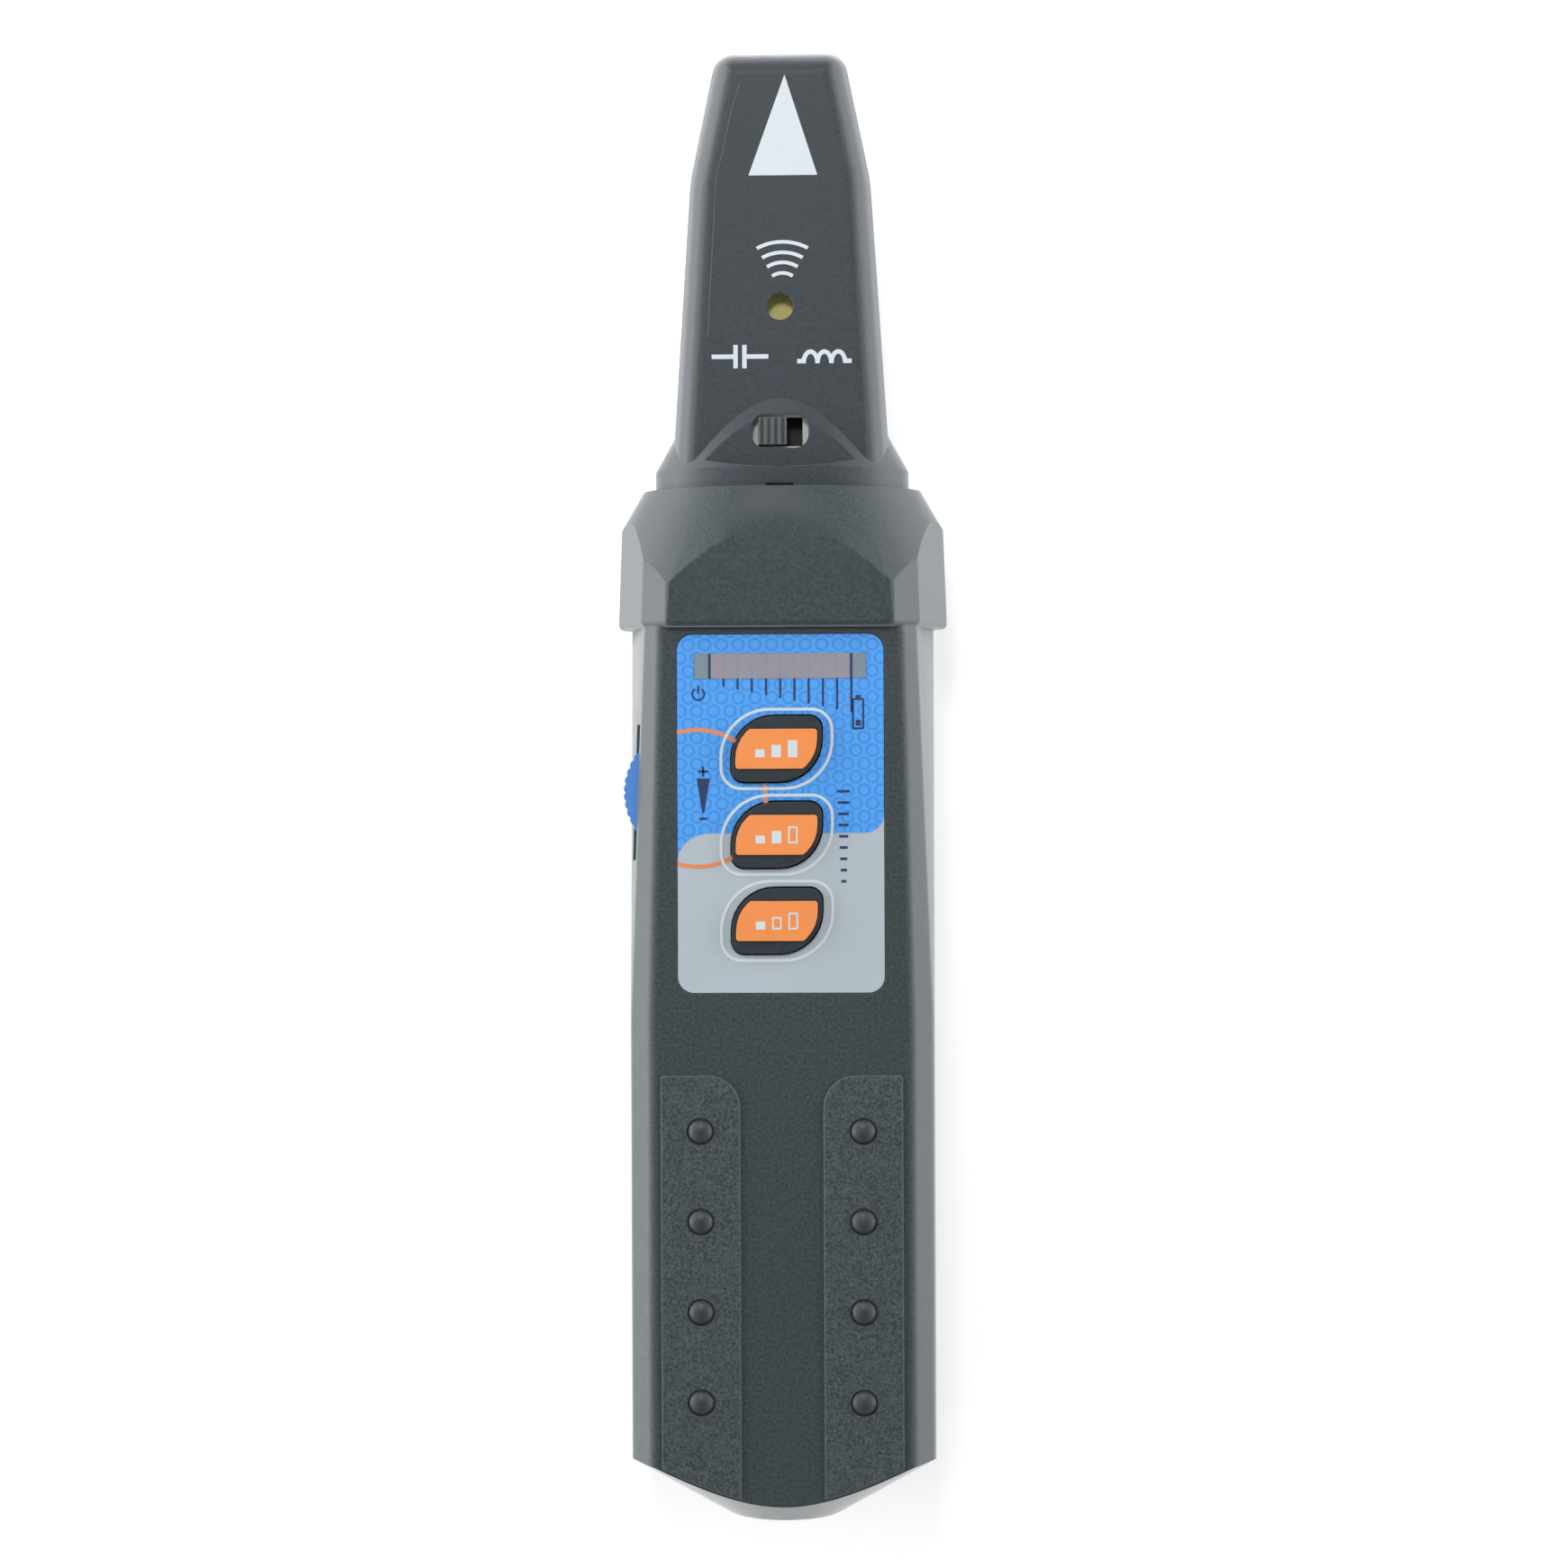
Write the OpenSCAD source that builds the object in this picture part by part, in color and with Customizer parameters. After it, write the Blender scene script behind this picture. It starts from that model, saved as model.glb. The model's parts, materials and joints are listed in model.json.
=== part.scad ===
// Hand-held cable locator, the receiver of a cable tracing set. Millimetres.
// It lies on its back: X to the right, Y towards the nose, Z out of the front.

/* [Body] */
// Length from the tail to the finger guard
body_l = 160.5; // [155:0.5:170]
// Width at the parting line
body_w = 55; // [54:0.5:58]
// Height of the front half above the parting line
front_h = 16.5; // [16.25:0.25:17.5]
// Depth of the rear half below the parting line
rear_h = 16.5; // [16.25:0.25:17.5]
// Thickness of the case walls
wall = 2.2; // [2:0.1:2.4]
// Bevel along the front of the grip
bevel = 3.9; // [3:0.1:4.3]
// Bevel along the front next to the guard
panel_bevel = 2.7; // [2:0.1:3.2]
// How far the sides lean in next to the guard
panel_lean = 3.2; // [2:0.1:3.6]
// Length of the leaning sides
panel_l = 70; // [60:1:75]
// Rounding between bevel and front
bevel_r = 3; // [2.4:0.1:3.4]
// Rounding between bevel and side
side_r = 2.4; // [1:0.1:3]
// Radius of the flat tail end
tail_r = 10.2; // [8:0.1:12]
// Rounding of the tail end
tail_edge_r = 1.6; // [1:0.1:2]

/* [Finger guard] */
// Length of the guard
guard_l = 25.2; // [24:0.2:28]
// Width of the guard at its lower rim
guard_w = 60; // [59:0.5:64]
// Height of the guard above the parting line
guard_h = 18.5; // [18:0.25:20]
// How far the sides of the guard lean in
guard_lean = 5.1; // [4:0.1:6]
// Bevel along the front of the guard
guard_bevel = 4.7; // [4:0.1:5]
// Bevel along the rear of the guard
guard_rear_bevel = 2.4; // [2:0.1:2.5]
// Draft of each side of the guard
guard_draft = 0.9; // [0.5:0.1:1.2]
// Rounding of the lower rim
rim_r = 1.2; // [0.8:0.1:1.6]
// Rounding of the edges along the guard
guard_edge_r = 1.6; // [1:0.1:2.4]
// Half width of the shoulder at its top
shoulder_a = 25.3; // [25:0.1:26]
// Thickness of the wall round the neck
guard_top_t = 4; // [3.5:0.1:5]

/* [Nose] */
// Length of the nose
nose_l = 79.3; // [78:0.5:85]
// Half thickness of the nose
nose_h = 9.8; // [9.6:0.1:10.5]
// Width of the nose inside the neck
nose_base_w = 39.9; // [39:0.1:41]
// Width of the nose where it narrows
nose_knee_w = 32.7; // [32:0.1:34]
// Width of the tip before rounding
nose_tip_w = 23.2; // [22:0.1:25]
// Distance from the narrowing to the tip
nose_tip_l = 23.1; // [20:0.5:25]
// Rounding of the tip corners
tip_r = 4; // [3:0.1:5]
// Rounding of the narrowing
knee_r = 30; // [20:1:40]
// Inset of the flat front
nose_round = 4.6; // [4:0.1:5]
// Height at which the rounding starts
nose_flank = 4; // [3.5:0.1:4.5]
// Half width of the neck ring
ring_a = 23.1; // [22.8:0.1:23.6]
// Half thickness of the neck ring
ring_b = 14.1; // [13.8:0.1:14.6]
// Length of the neck ring
ring_l = 3.6; // [3:0.1:4.5]
// Length of the flare
flare_l = 16; // [15:0.5:18]
// Height of the switch pocket over the nose front
pocket_rise = 1; // [0.8:0.1:1.2]
// Radius of the curved end of the pocket
pocket_r = 66; // [50:1:90]
// Diameter of the sound hole
sound_d = 4.85; // [4:0.05:6]
// Distance of the sound hole from the guard
sound_dy = 32.7; // [32:0.1:34]
// Slit between neck and guard
slit_w = 5; // [4:0.1:6]
// Height of the slit
slit_t = 0.6; // [0.4:0.1:0.8]
// Depth of the slit
slit_d = 1.5; // [1:0.1:2]

/* [Front panel] */
// Width of the label
label_w = 36.8; // [36:0.1:37.4]
// Length of the label
label_l = 63.8; // [62:0.2:66]
// Thickness of the label
label_t = 0.5; // [0.4:0.05:0.7]
// Rounding of the label corners
label_r = 3; // [2:0.1:4]
// Gap from the guard to the label
label_gap = 1.4; // [1:0.1:3]
// Width of the display window
display_w = 30.7; // [30.2:0.1:31.5]
// Height of the display window
display_h = 5; // [4.8:0.1:5.4]
// Distance of the window centre from the top of the label
display_dy = 5.4; // [5:0.1:6]
// Thickness of the display window
lens_t = 0.9; // [0.7:0.05:1.2]

/* [Indicators] */
// Width of the base of the indicator bar, ten segments
led_w = 8; // [7:0.1:8.4]
// Height of the base of the bar
led_base_h = 7.8; // [7.4:0.1:8]
// Width of the lit face of a segment
led_face = 4.6; // [4:0.1:4.7]
// Gap between two segments
led_gap = 0.3; // [0.2:0.05:0.5]
// Width of an end indicator
end_led_w = 2.4; // [2:0.1:2.6]

/* [Keys] */
// Width of a key
key_w = 16; // [15:0.1:16.4]
// Height of a key along the label
key_l = 11.7; // [11:0.1:12.2]
// Distance between keys
key_pitch = 15.3; // [15.2:0.1:16]
// Distance of the first key from the top of the label
key_dy = 20.4; // [20:0.1:21]
// Offset of the keys from the middle
key_x = -0.7; // [-1:0.1:0]
// Large corner radius of a key
key_big_r = 7.6; // [6:0.1:8]
// Small corner radius of a key
key_small_r = 2.2; // [1.5:0.1:2.6]
// Height of a key over the front
key_proud = 0.9; // [0.6:0.1:1.4]
// Retaining flange round a key
key_flange = 1.2; // [1:0.1:1.3]
// Thickness of the flange
key_flange_t = 1.2; // [1:0.1:1.3]
// Travel of a key
key_travel = 0.7; // [0.5:0.05:0.8]
// Height of the coloured face of a key
face_l = 7.1; // [6:0.1:7.6]
// Inset of the coloured face
face_inset = 0.75; // [0.6:0.05:1]
// Thickness of the coloured face
face_t = 0.7; // [0.6:0.05:0.9]
// Side of a key switch
tact_w = 6; // [5:0.1:6.2]
// Height of a key switch
tact_h = 3.6; // [3.2:0.1:3.8]
// Radius of a plunger and of the stem on it
plunger_r = 1.75; // [1.5:0.05:2]
// Depth of a plunger inside its switch
plunger_in = 1.4; // [1.2:0.1:1.6]

/* [Slide switch] */
// Length of the switch window
window_l = 10.2; // [10:0.1:11]
// Height of the switch window
window_h = 6.1; // [5.8:0.1:6.6]
// Rounding of the window corners
window_r = 2.4; // [1.5:0.1:2.6]
// Distance of the window from the guard
window_dy = 10.2; // [9.8:0.1:10.6]
// Thickness of the pocket floor over the switch
floor_t = 2; // [1.8:0.1:2.2]
// Length of the switch housing
slider_l = 14.4; // [14:0.1:15]
// Width of the switch housing
slider_w = 7.4; // [7.2:0.1:7.8]
// Height of the switch housing
slider_h = 5; // [4.8:0.1:5.2]
// Thickness of the metal frame
frame_t = 0.4; // [0.3:0.05:0.5]
// Length of the knob
knob_l = 5; // [4.6:0.1:5.4]
// Width of the knob
knob_w = 4.9; // [4.4:0.1:5.2]
// Height of the knob over the pocket floor
knob_proud = 0.3; // [0.1:0.1:1]
// Depth of the knob inside the housing
knob_in = 2.4; // [2:0.1:3]
// Travel of the knob
knob_travel = 2.7; // [2:0.1:2.9]

/* [Thumbwheel] */
// Radius of the wheel
wheel_r = 12; // [11:0.1:12.2]
// Thickness of the wheel
wheel_t = 2.7; // [2.2:0.1:2.8]
// How far the wheel stands out of the side
wheel_out = 0.9; // [0.7:0.1:1.2]
// Distance of the wheel from the top of the label
wheel_dy = 28.1; // [27:0.1:29]
// Length of the slot in the side
slot_l = 24.4; // [24:0.1:26]
// Number of grooves in the rim
knurl_n = 48;
// Depth of a groove
knurl_d = 0.35; // [0.2:0.05:0.5]
// Radius of the potentiometer
pot_r = 6; // [5.5:0.1:6.5]
// Height of the potentiometer
pot_h = 2.6; // [2.4:0.1:2.8]
// Radius of its shaft
shaft_r = 2; // [1.5:0.1:2.5]

/* [Grip] */
// Inner edge of a grip strip from the middle
strip_in = 7.5; // [6:0.1:9]
// Width of a grip strip
strip_w = 14; // [13:0.1:14.5]
// Height of a strip over the front
strip_t = 0.3; // [0.2:0.05:0.5]
// Distance of the top of the strips from the tail
strip_dy = 80.5; // [76:0.5:84]
// Rounding of the inner top corner
strip_r = 5.6; // [4:0.1:6.5]
// Radius of a grip dot
dot_r = 2.1; // [1.8:0.05:2.3]
// Height of a grip dot
dot_h = 0.8; // [0.5:0.05:1]
// Distance between grip dots
dot_pitch = 16.1; // [15:0.1:16.5]
// Distance of the lowest dot from the tail
dot_dy = 22.3; // [21:0.1:24]
// Width of the groove round a dot
groove = 0.35; // [0.3:0.05:0.5]

/* [Battery] */
// Length of the battery
bat_l = 46.4; // [45:0.1:47]
// Width of the battery
bat_w = 26.5; // [26:0.1:26.8]
// Thickness of the battery
bat_t = 17.5; // [17:0.1:17.8]
// Distance of the battery bay from the tail
bay_dy = 16; // [15:0.5:17]
// Wall of the battery bay
bay_wall = 1.5; // [1.2:0.1:1.7]
// Height of a battery terminal
stud_h = 2.6; // [2.2:0.1:3]
// Radius of the small terminal
stud_r = 2.9; // [2.6:0.1:3.1]
// Radius of the large terminal
cup_r = 3.6; // [3.3:0.1:3.8]
// Thickness of the snap connector
clip_t = 4; // [3.6:0.1:4.4]
// Height of the snap connector
clip_h = 12; // [11:0.1:13]
// Thickness of the foam pad
foam_t = 1; // [0.8:0.1:1.2]
// Width of the battery door
door_w = 29; // [28.4:0.1:29.2]
// Width of the door tongues
tongue_w = 1.2; // [1:0.1:1.3]
// Thickness of the door tongues
tongue_t = 1; // [0.8:0.05:1.1]
// Radius of a battery lead
lead_r = 0.7; // [0.5:0.05:0.9]

/* [Boards] */
// Thickness of the circuit boards
board_t = 1.6; // [1.2:0.1:1.8]
// Width of the main board
board_w = 41; // [40:0.2:42]
// Width of the sensor board
sensor_w = 26; // [25:0.2:27]
// Length of the sensor board
sensor_l = 40; // [39:0.2:40.6]
// Width of the ribbon cable
ribbon_w = 10; // [7:0.1:12]
// Thickness of the ribbon cable
ribbon_t = 0.8; // [0.6:0.1:1]

/* [Sensors] */
// Radius of the sounder disc
disc_r = 10; // [9.8:0.1:10.2]
// Thickness of the sounder disc and of its ceramic
disc_t = 0.3; // [0.2:0.05:0.4]
// Radius of the ceramic
ceramic_r = 7; // [6:0.1:7.5]
// Height of the rib that the disc sits on
disc_rib = 1; // [0.8:0.1:1.2]
// Radius of the ferrite rod
rod_r = 3.7; // [3.4:0.1:3.8]
// Length of the ferrite rod
rod_l = 34; // [32:0.5:35]
// Gap from the nose tip to the rod
rod_gap = 6.5; // [6:0.1:8]
// Radius of the bobbin
bobbin_r = 5.2; // [5:0.1:5.3]
// Length of the bobbin
bobbin_l = 19; // [17:0.2:20]
// Width of the pickup plate
plate_w = 10; // [8:0.1:11]
// Length of the pickup plate
plate_l = 14; // [10:0.2:15]
// Distance of the pickup plate from the tip
plate_dy = 19.5; // [18:0.1:21]

/* [Fasteners] */
// Shank radius of the case screws
screw_r = 1.5; // [1.2:0.05:1.7]
// Head radius of the case screws
head_r = 2.8; // [2.6:0.05:2.9]
// Radius of the posts for the case screws
post_r = 3.4; // [3.2:0.05:3.6]
// Shank radius of the small screws
small_r = 1.1; // [1:0.05:1.2]
// Head radius of the small screws
small_head_r = 2.1; // [1.9:0.05:2.2]
// Radius of the posts for the small screws
small_post_r = 2.7; // [2.6:0.05:2.9]
// Width of the cross recess in a screw head
cross_t = 0.8; // [0.6:0.05:0.9]
// Depth of the cross recess
cross_d = 0.9; // [0.7:0.05:1]

/* [Fits] */
// Gap round moving pieces
fit = 0.3; // [0.25:0.05:0.35]
// Gap round seated pieces
seat = 0.15; // [0.1:0.05:0.2]
// Gap round turning shafts and screws
run = 0.05; // [0.03:0.01:0.08]

/* [Hidden] */
// Run of the tail cone along the body for each step outward
tail_rise = 0.59;
// Run of the shoulder and of the flare for each step outward
shoulder_rise = 1.73;
flare_rise = 1.78;
// Flatness of the shoulder
shoulder_share = 0.63;
// Inset of a bevel corner for each step of wall
bevel_share = tan(22.5);
// Overrun of cuts and thickness of the sections that a form spans
over = 1;
slice = 0.01;
// Steps of small and large roundings
few = 8;
oval_n = 28;
many = 64;
// Half thickness and depth of the opening notch in the right side
notch_t = 0.5;
notch_d = 0.5;
notch_l = 6;
notch_dy = 30.5;
// Places of the screws
guard_screw_x = 16;
guard_screw_dy = 10;
tail_screw_x = 21;
tail_screw_dy = 32.5;
nose_screw_x = 10;
nose_screw_dy = 18.3;
// Step from the neck ring to its spigot, and lip of the spigot
spigot_step = 1.2;
spigot_lip = 1.2;
spigot_lip_t = 1.6;
// Depth of the sinks for screw heads, and thickness of the heads
sink = 5;
head_t = 2.2;
small_sink = 2.4;
small_head_t = 1.5;
// Depth of a case screw and of a board screw in their posts
screw_in = 8;
small_in = 3.5;
// Clear margin of boards beyond the panel and from screw to edge
board_over = 2;
board_under = 8;
board_edge = 3.2;
// Draft of the grip and of the nose
grip_lean = 0.3;
nose_draft = 0.35;
// Ribs that hold the battery, and saddle for the rod
rib_t = 2;
saddle_w = 9;
// Wall left round the bore of the spigot, and rib of the sounder
neck_wall = 2.2;
disc_rib_t = 1.4;
// Free length past the battery terminals, and width of the lead opening
clip_room = 0.6;
lead_x = 3.5;
lead_gap = 2;
// Relief of the door below the rear face, and its finger ridges
door_relief = 0.2;
ridge_n = 5;
ridge_w = 14;
ridge_t = 0.8;
ridge_pitch = 1.8;
ridge_d = 0.6;
ridge_dy = 6;
// Reach of the cross recess in the head
cross_share = 0.62;
// Ribs on the knob
knob_rib_n = 4;
knob_rib_d = 0.45;
knob_rib_share = 0.5;
// Corner radius of the battery and of small parts
bat_r = 2.5;
small_corner = 0.6;

part_z = rear_h;
tail_y = -(body_l + guard_l + nose_l) / 2;
guard_y0 = tail_y + body_l;
guard_y1 = guard_y0 + guard_l;
tip_y = guard_y1 + nose_l;
lean_y = guard_y0 - panel_l;
cavity_y1 = guard_y1 - guard_top_t;
ceiling = front_h - wall;
label_y1 = guard_y0 - label_gap;
label_y = label_y1 - label_l / 2;
display_y = label_y1 - display_dy;
led_l = display_w - 2 * (end_led_w + run + fit);
key_y = label_y1 - key_dy;
wheel_x = -(body_w / 2 + wheel_out - wheel_r);
wheel_y = label_y1 - wheel_dy;
strip_y1 = tail_y + strip_dy;
board_y0 = label_y1 - label_l - board_under;
board_y1 = guard_y0 + board_over;
board_h1 = ceiling - fit - led_base_h;
board_h0 = board_h1 - board_t;
wheel_h0 = board_h1 + pot_h + fit;
wheel_h1 = wheel_h0 + wheel_t;
flange_h1 = ceiling - seat;
flange_h0 = flange_h1 - key_flange_t;
stem_h0 = board_h1 + tact_h + key_travel + fit;
key_h1 = front_h + key_proud;
face_h0 = key_h1 - face_t / 2;
lens_h0 = front_h - label_t - lens_t;
spigot_a = ring_a - spigot_step;
spigot_b = ring_b - spigot_step;
spigot_y0 = cavity_y1 - seat - spigot_lip_t;
lip_a = spigot_a + spigot_lip;
lip_b = min(spigot_b + spigot_lip, ceiling - seat);
lip_room_y0 = guard_y0 + guard_screw_dy + post_r;
flare_y0 = guard_y1 + ring_l;
flare_a = ring_a - flare_l / flare_rise;
pocket_h = nose_h + pocket_rise;
nose_ceiling = nose_h - wall;
window_y = guard_y1 + window_dy;
frame_h1 = pocket_h - floor_t;
slider_h1 = frame_h1 - frame_t;
sensor_h1 = slider_h1 - slider_h;
sensor_h0 = sensor_h1 - board_t;
sensor_y0 = window_y - slider_w / 2 - board_edge;
sensor_y1 = sensor_y0 + sensor_l;
sound_y = guard_y1 + sound_dy;
disc_h1 = nose_ceiling - disc_rib;
rod_h = -(nose_ceiling - bobbin_r - seat);
rod_y1 = tip_y - rod_gap;
rod_y0 = rod_y1 - rod_l;
bobbin_y = rod_y1 - board_edge - bobbin_l / 2;
bay_y0 = tail_y + bay_dy;
bat_y0 = bay_y0 + seat;
bat_y1 = bat_y0 + bat_l;
clip_y0 = bat_y1 + seat;
clip_y1 = clip_y0 + clip_t;
bay_y1 = clip_y1 + clip_room;
bay_x = door_w / 2 + tongue_w + fit;
bat_z0 = wall + fit;
bat_z1 = bat_z0 + bat_t;
roof_z = bat_z1 + foam_t;
bat_h = bat_z0 + bat_t / 2 - part_z;
door_y1 = bay_y1 + bay_wall + over;
tongue_z0 = wall - tongue_t;

$fn = many;

function unit(v) = v / norm(v);

// Points of a corner at p between the points a and b, rounded to radius r
function corner(p, a, b, r) =
    r <= 0 ? [p] :
    let (u = unit(a - p), v = unit(b - p), half = acos(u * v) / 2)
    let (c = p + unit(u + v) * r / sin(half), s = p + u * r / tan(half), e = p + v * r / tan(half))
    let (a0 = atan2(s.y - c.y, s.x - c.x), turn = atan2(e.y - c.y, e.x - c.x) - a0)
    let (sweep = turn > 180 ? turn - 360 : turn < -180 ? turn + 360 : turn)
    [for (i = [0:few]) c + r * [cos(a0 + sweep * i / few), sin(a0 + sweep * i / few)]];

// Outline through points, each with its own corner radius
function rounded(pts, radii) =
    let (n = len(pts))
    [for (i = [0:n - 1]) each corner(pts[i], pts[(i + n - 1) % n], pts[(i + 1) % n], radii[i])];

function box_points(w, l) = [[-w / 2, -l / 2], [w / 2, -l / 2], [w / 2, l / 2], [-w / 2, l / 2]];

function rounded_box(w, l, r) = rounded(box_points(w, l), [r, r, r, r]);

// Section with a flat front and rear, bevels cut and back, and leaning sides, inset by d.
// The corners have the radius r at the flats and e at the sides before the inset.
function bevelled(w, front, rear, lean, cut, back, d, r, e) =
    let (sx = w / 2 - d, ex = w / 2 - lean - d, down = cut + bevel_share * d, up = back + bevel_share * d)
    let (fx = w / 2 - lean - down, bx = w / 2 - lean - up, ft = front - d, bt = rear - d)
    let (rf = max(r - d, 0), rs = max(e - d, 0))
    rounded([[sx, 0], [ex, front - down], [fx, ft], [-fx, ft], [-ex, front - down],
        [-sx, 0], [-ex, up - rear], [-bx, -bt], [bx, -bt], [ex, up - rear]],
        [0, rs, rf, rf, rs, 0, rs, rf, rf, rs]);

// Draws a section in X and height along Y
module along_y(y0, y1) {
    translate([0, y1, part_z]) rotate([90, 0, 0]) linear_extrude(y1 - y0) children();
}

// Draws an outline in X and Y between two heights over the parting line
module between(h0, h1) {
    translate([0, 0, part_z + h0]) linear_extrude(h1 - h0) children();
}

module disc(x, y, h0, h1, r) {
    translate([x, y, part_z + h0]) cylinder(h = h1 - h0, r = r);
}

module block(x, y, h0, h1, w, l) {
    translate([x - w / 2, y - l / 2, part_z + h0]) cube([w, l, h1 - h0]);
}

// Oval cone along Y
module oval(y0, y1, a0, b0, a1) {
    translate([0, y0, part_z]) rotate([-90, 0, 0])
        linear_extrude(y1 - y0, scale = a1 / a0) scale([1, b0 / a0]) circle(a0);
}

module front_half() {
    translate([-guard_w, tail_y - over, part_z]) cube([2 * guard_w, tip_y - tail_y + 2 * over, guard_w]);
}

module rear_half() {
    mirror([0, 0, 1]) translate([0, 0, -2 * part_z]) front_half();
}

module tail_cone(d) {
    lift = d * sqrt(1 + tail_rise * tail_rise);
    r0 = tail_r - (lift - d) / tail_rise;
    y0 = tail_y + d;
    translate([0, 0, part_z]) rotate([-90, 0, 0]) rotate_extrude()
        polygon(rounded([[0, y0], [r0, y0], [body_w, y0 + tail_rise * (body_w - r0)],
            [body_w, guard_y1], [0, guard_y1]], [0, tail_edge_r - d, 0, 0, 0]));
}

// Body form inset by d, with the section at the guard carried on to y_end
module body_form(d, y_end) {
    near = bevelled(body_w, front_h, rear_h, panel_lean, panel_bevel, panel_bevel, d, bevel_r, side_r);
    intersection() {
        hull() {
            along_y(tail_y, lean_y)
                polygon(bevelled(body_w, front_h, rear_h, grip_lean, bevel, bevel, d, bevel_r, side_r));
            along_y(guard_y0 - slice, guard_y0) polygon(near);
        }
        tail_cone(d);
    }
    along_y(guard_y0 - over, y_end) polygon(near);
}

module guard_form() {
    big_a = shoulder_a + guard_l / shoulder_rise;
    intersection() {
        hull() {
            for (i = [0:few]) {
                along_y(guard_y0 + rim_r * (1 - cos(90 * i / few)), guard_y0 + rim_r)
                    polygon(bevelled(guard_w, guard_h, rear_h, guard_lean, guard_bevel, guard_rear_bevel,
                        rim_r * (1 - sin(90 * i / few)), guard_edge_r, guard_edge_r));
            }
            along_y(guard_y1 - slice, guard_y1)
                polygon(bevelled(guard_w - 2 * guard_draft, guard_h, rear_h, guard_lean, guard_bevel,
                    guard_rear_bevel, 0, guard_edge_r, guard_edge_r));
        }
        oval(guard_y0, guard_y1, big_a, shoulder_share * big_a, shoulder_a);
    }
}

module case_form() {
    body_form(0, guard_y0 + rim_r);
    guard_form();
}

module case_cavity() {
    body_form(wall, lip_room_y0);
    oval(lip_room_y0 - over, cavity_y1, lip_a + seat, lip_b + seat, lip_a + seat);
    oval(cavity_y1 - over, guard_y1 + over, spigot_a + seat, spigot_b + seat, spigot_a + seat);
}

module notch_cut() {
    translate([body_w / 2 - notch_d, tail_y + notch_dy - notch_l / 2, part_z - notch_t])
        cube([over, notch_l, 2 * notch_t]);
}

module at_case_screws() {
    for (s = [-1, 1]) {
        translate([s * guard_screw_x, guard_y0 + guard_screw_dy, 0]) children();
        translate([s * tail_screw_x, tail_y + tail_screw_dy, 0]) children();
    }
}

module at_nose_screws() {
    for (s = [-1, 1]) translate([s * nose_screw_x, guard_y1 + nose_screw_dy, 0]) children();
}

module at_board_screws() {
    for (s = [-1, 1]) {
        translate([s * (board_w / 2 - board_edge), board_y1 - board_edge, 0]) children();
        translate([s * (board_w / 2 - board_edge), board_y0 + board_edge, 0]) children();
    }
}

module at_dots() {
    for (i = [0:3])
        translate([-strip_in - strip_w / 2, tail_y + dot_dy + i * dot_pitch, 0]) children();
}

// Leaf outline of a key, grown by g
module key_outline(g) {
    polygon(rounded(box_points(key_w + 2 * g, key_l + 2 * g),
        [key_small_r + g, key_big_r + g, key_small_r + g, key_big_r + g]));
}

module at_key(i) {
    translate([key_x, key_y - i * key_pitch, 0]) children();
}

module strip() {
    x0 = -strip_in;
    x1 = -strip_in - strip_w;
    intersection() {
        between(front_h - label_t, front_h + strip_t)
            polygon(rounded([[x0, tail_y], [x1, tail_y], [x1, strip_y1], [x0, strip_y1]],
                [0, 0, small_corner, strip_r]));
        tail_cone(groove);
    }
}

module dot() {
    ball = (dot_r * dot_r + dot_h * dot_h) / (2 * dot_h);
    top = front_h + strip_t + dot_h;
    intersection() {
        translate([0, 0, part_z + top - ball]) sphere(ball);
        disc(0, 0, front_h - label_t, top, dot_r);
    }
}

// Left grip strip with its dots standing in ring grooves
module grip_pad() {
    difference() {
        strip();
        at_dots() disc(0, 0, front_h, front_h + over, dot_r + groove);
    }
    at_dots() dot();
}

module front_case() {
    color("#434d4f") difference() {
        union() {
            difference() {
                intersection() {
                    case_form();
                    front_half();
                }
                case_cavity();
            }
            grip_pad();
            mirror([1, 0, 0]) grip_pad();
            at_case_screws() disc(0, 0, 0, ceiling + seat, post_r);
            at_board_screws() disc(0, 0, board_h1, ceiling + seat, small_post_r);
        }
        at_case_screws() disc(0, 0, -over, screw_in + seat, screw_r + run);
        at_board_screws() disc(0, 0, -over, ceiling - over, small_r + run);
        translate([0, label_y, 0]) between(front_h - label_t, guard_h)
            polygon(rounded_box(label_w + 2 * seat, label_l + 2 * seat, label_r));
        translate([0, display_y, 0]) between(0, guard_h) square([display_w, display_h], center = true);
        for (i = [0:2]) at_key(i) between(0, guard_h) key_outline(fit);
        block(-body_w / 2, wheel_y, wheel_h0 - fit, wheel_h1 + fit, body_w / 2, slot_l);
        notch_cut();
    }
}

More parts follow.
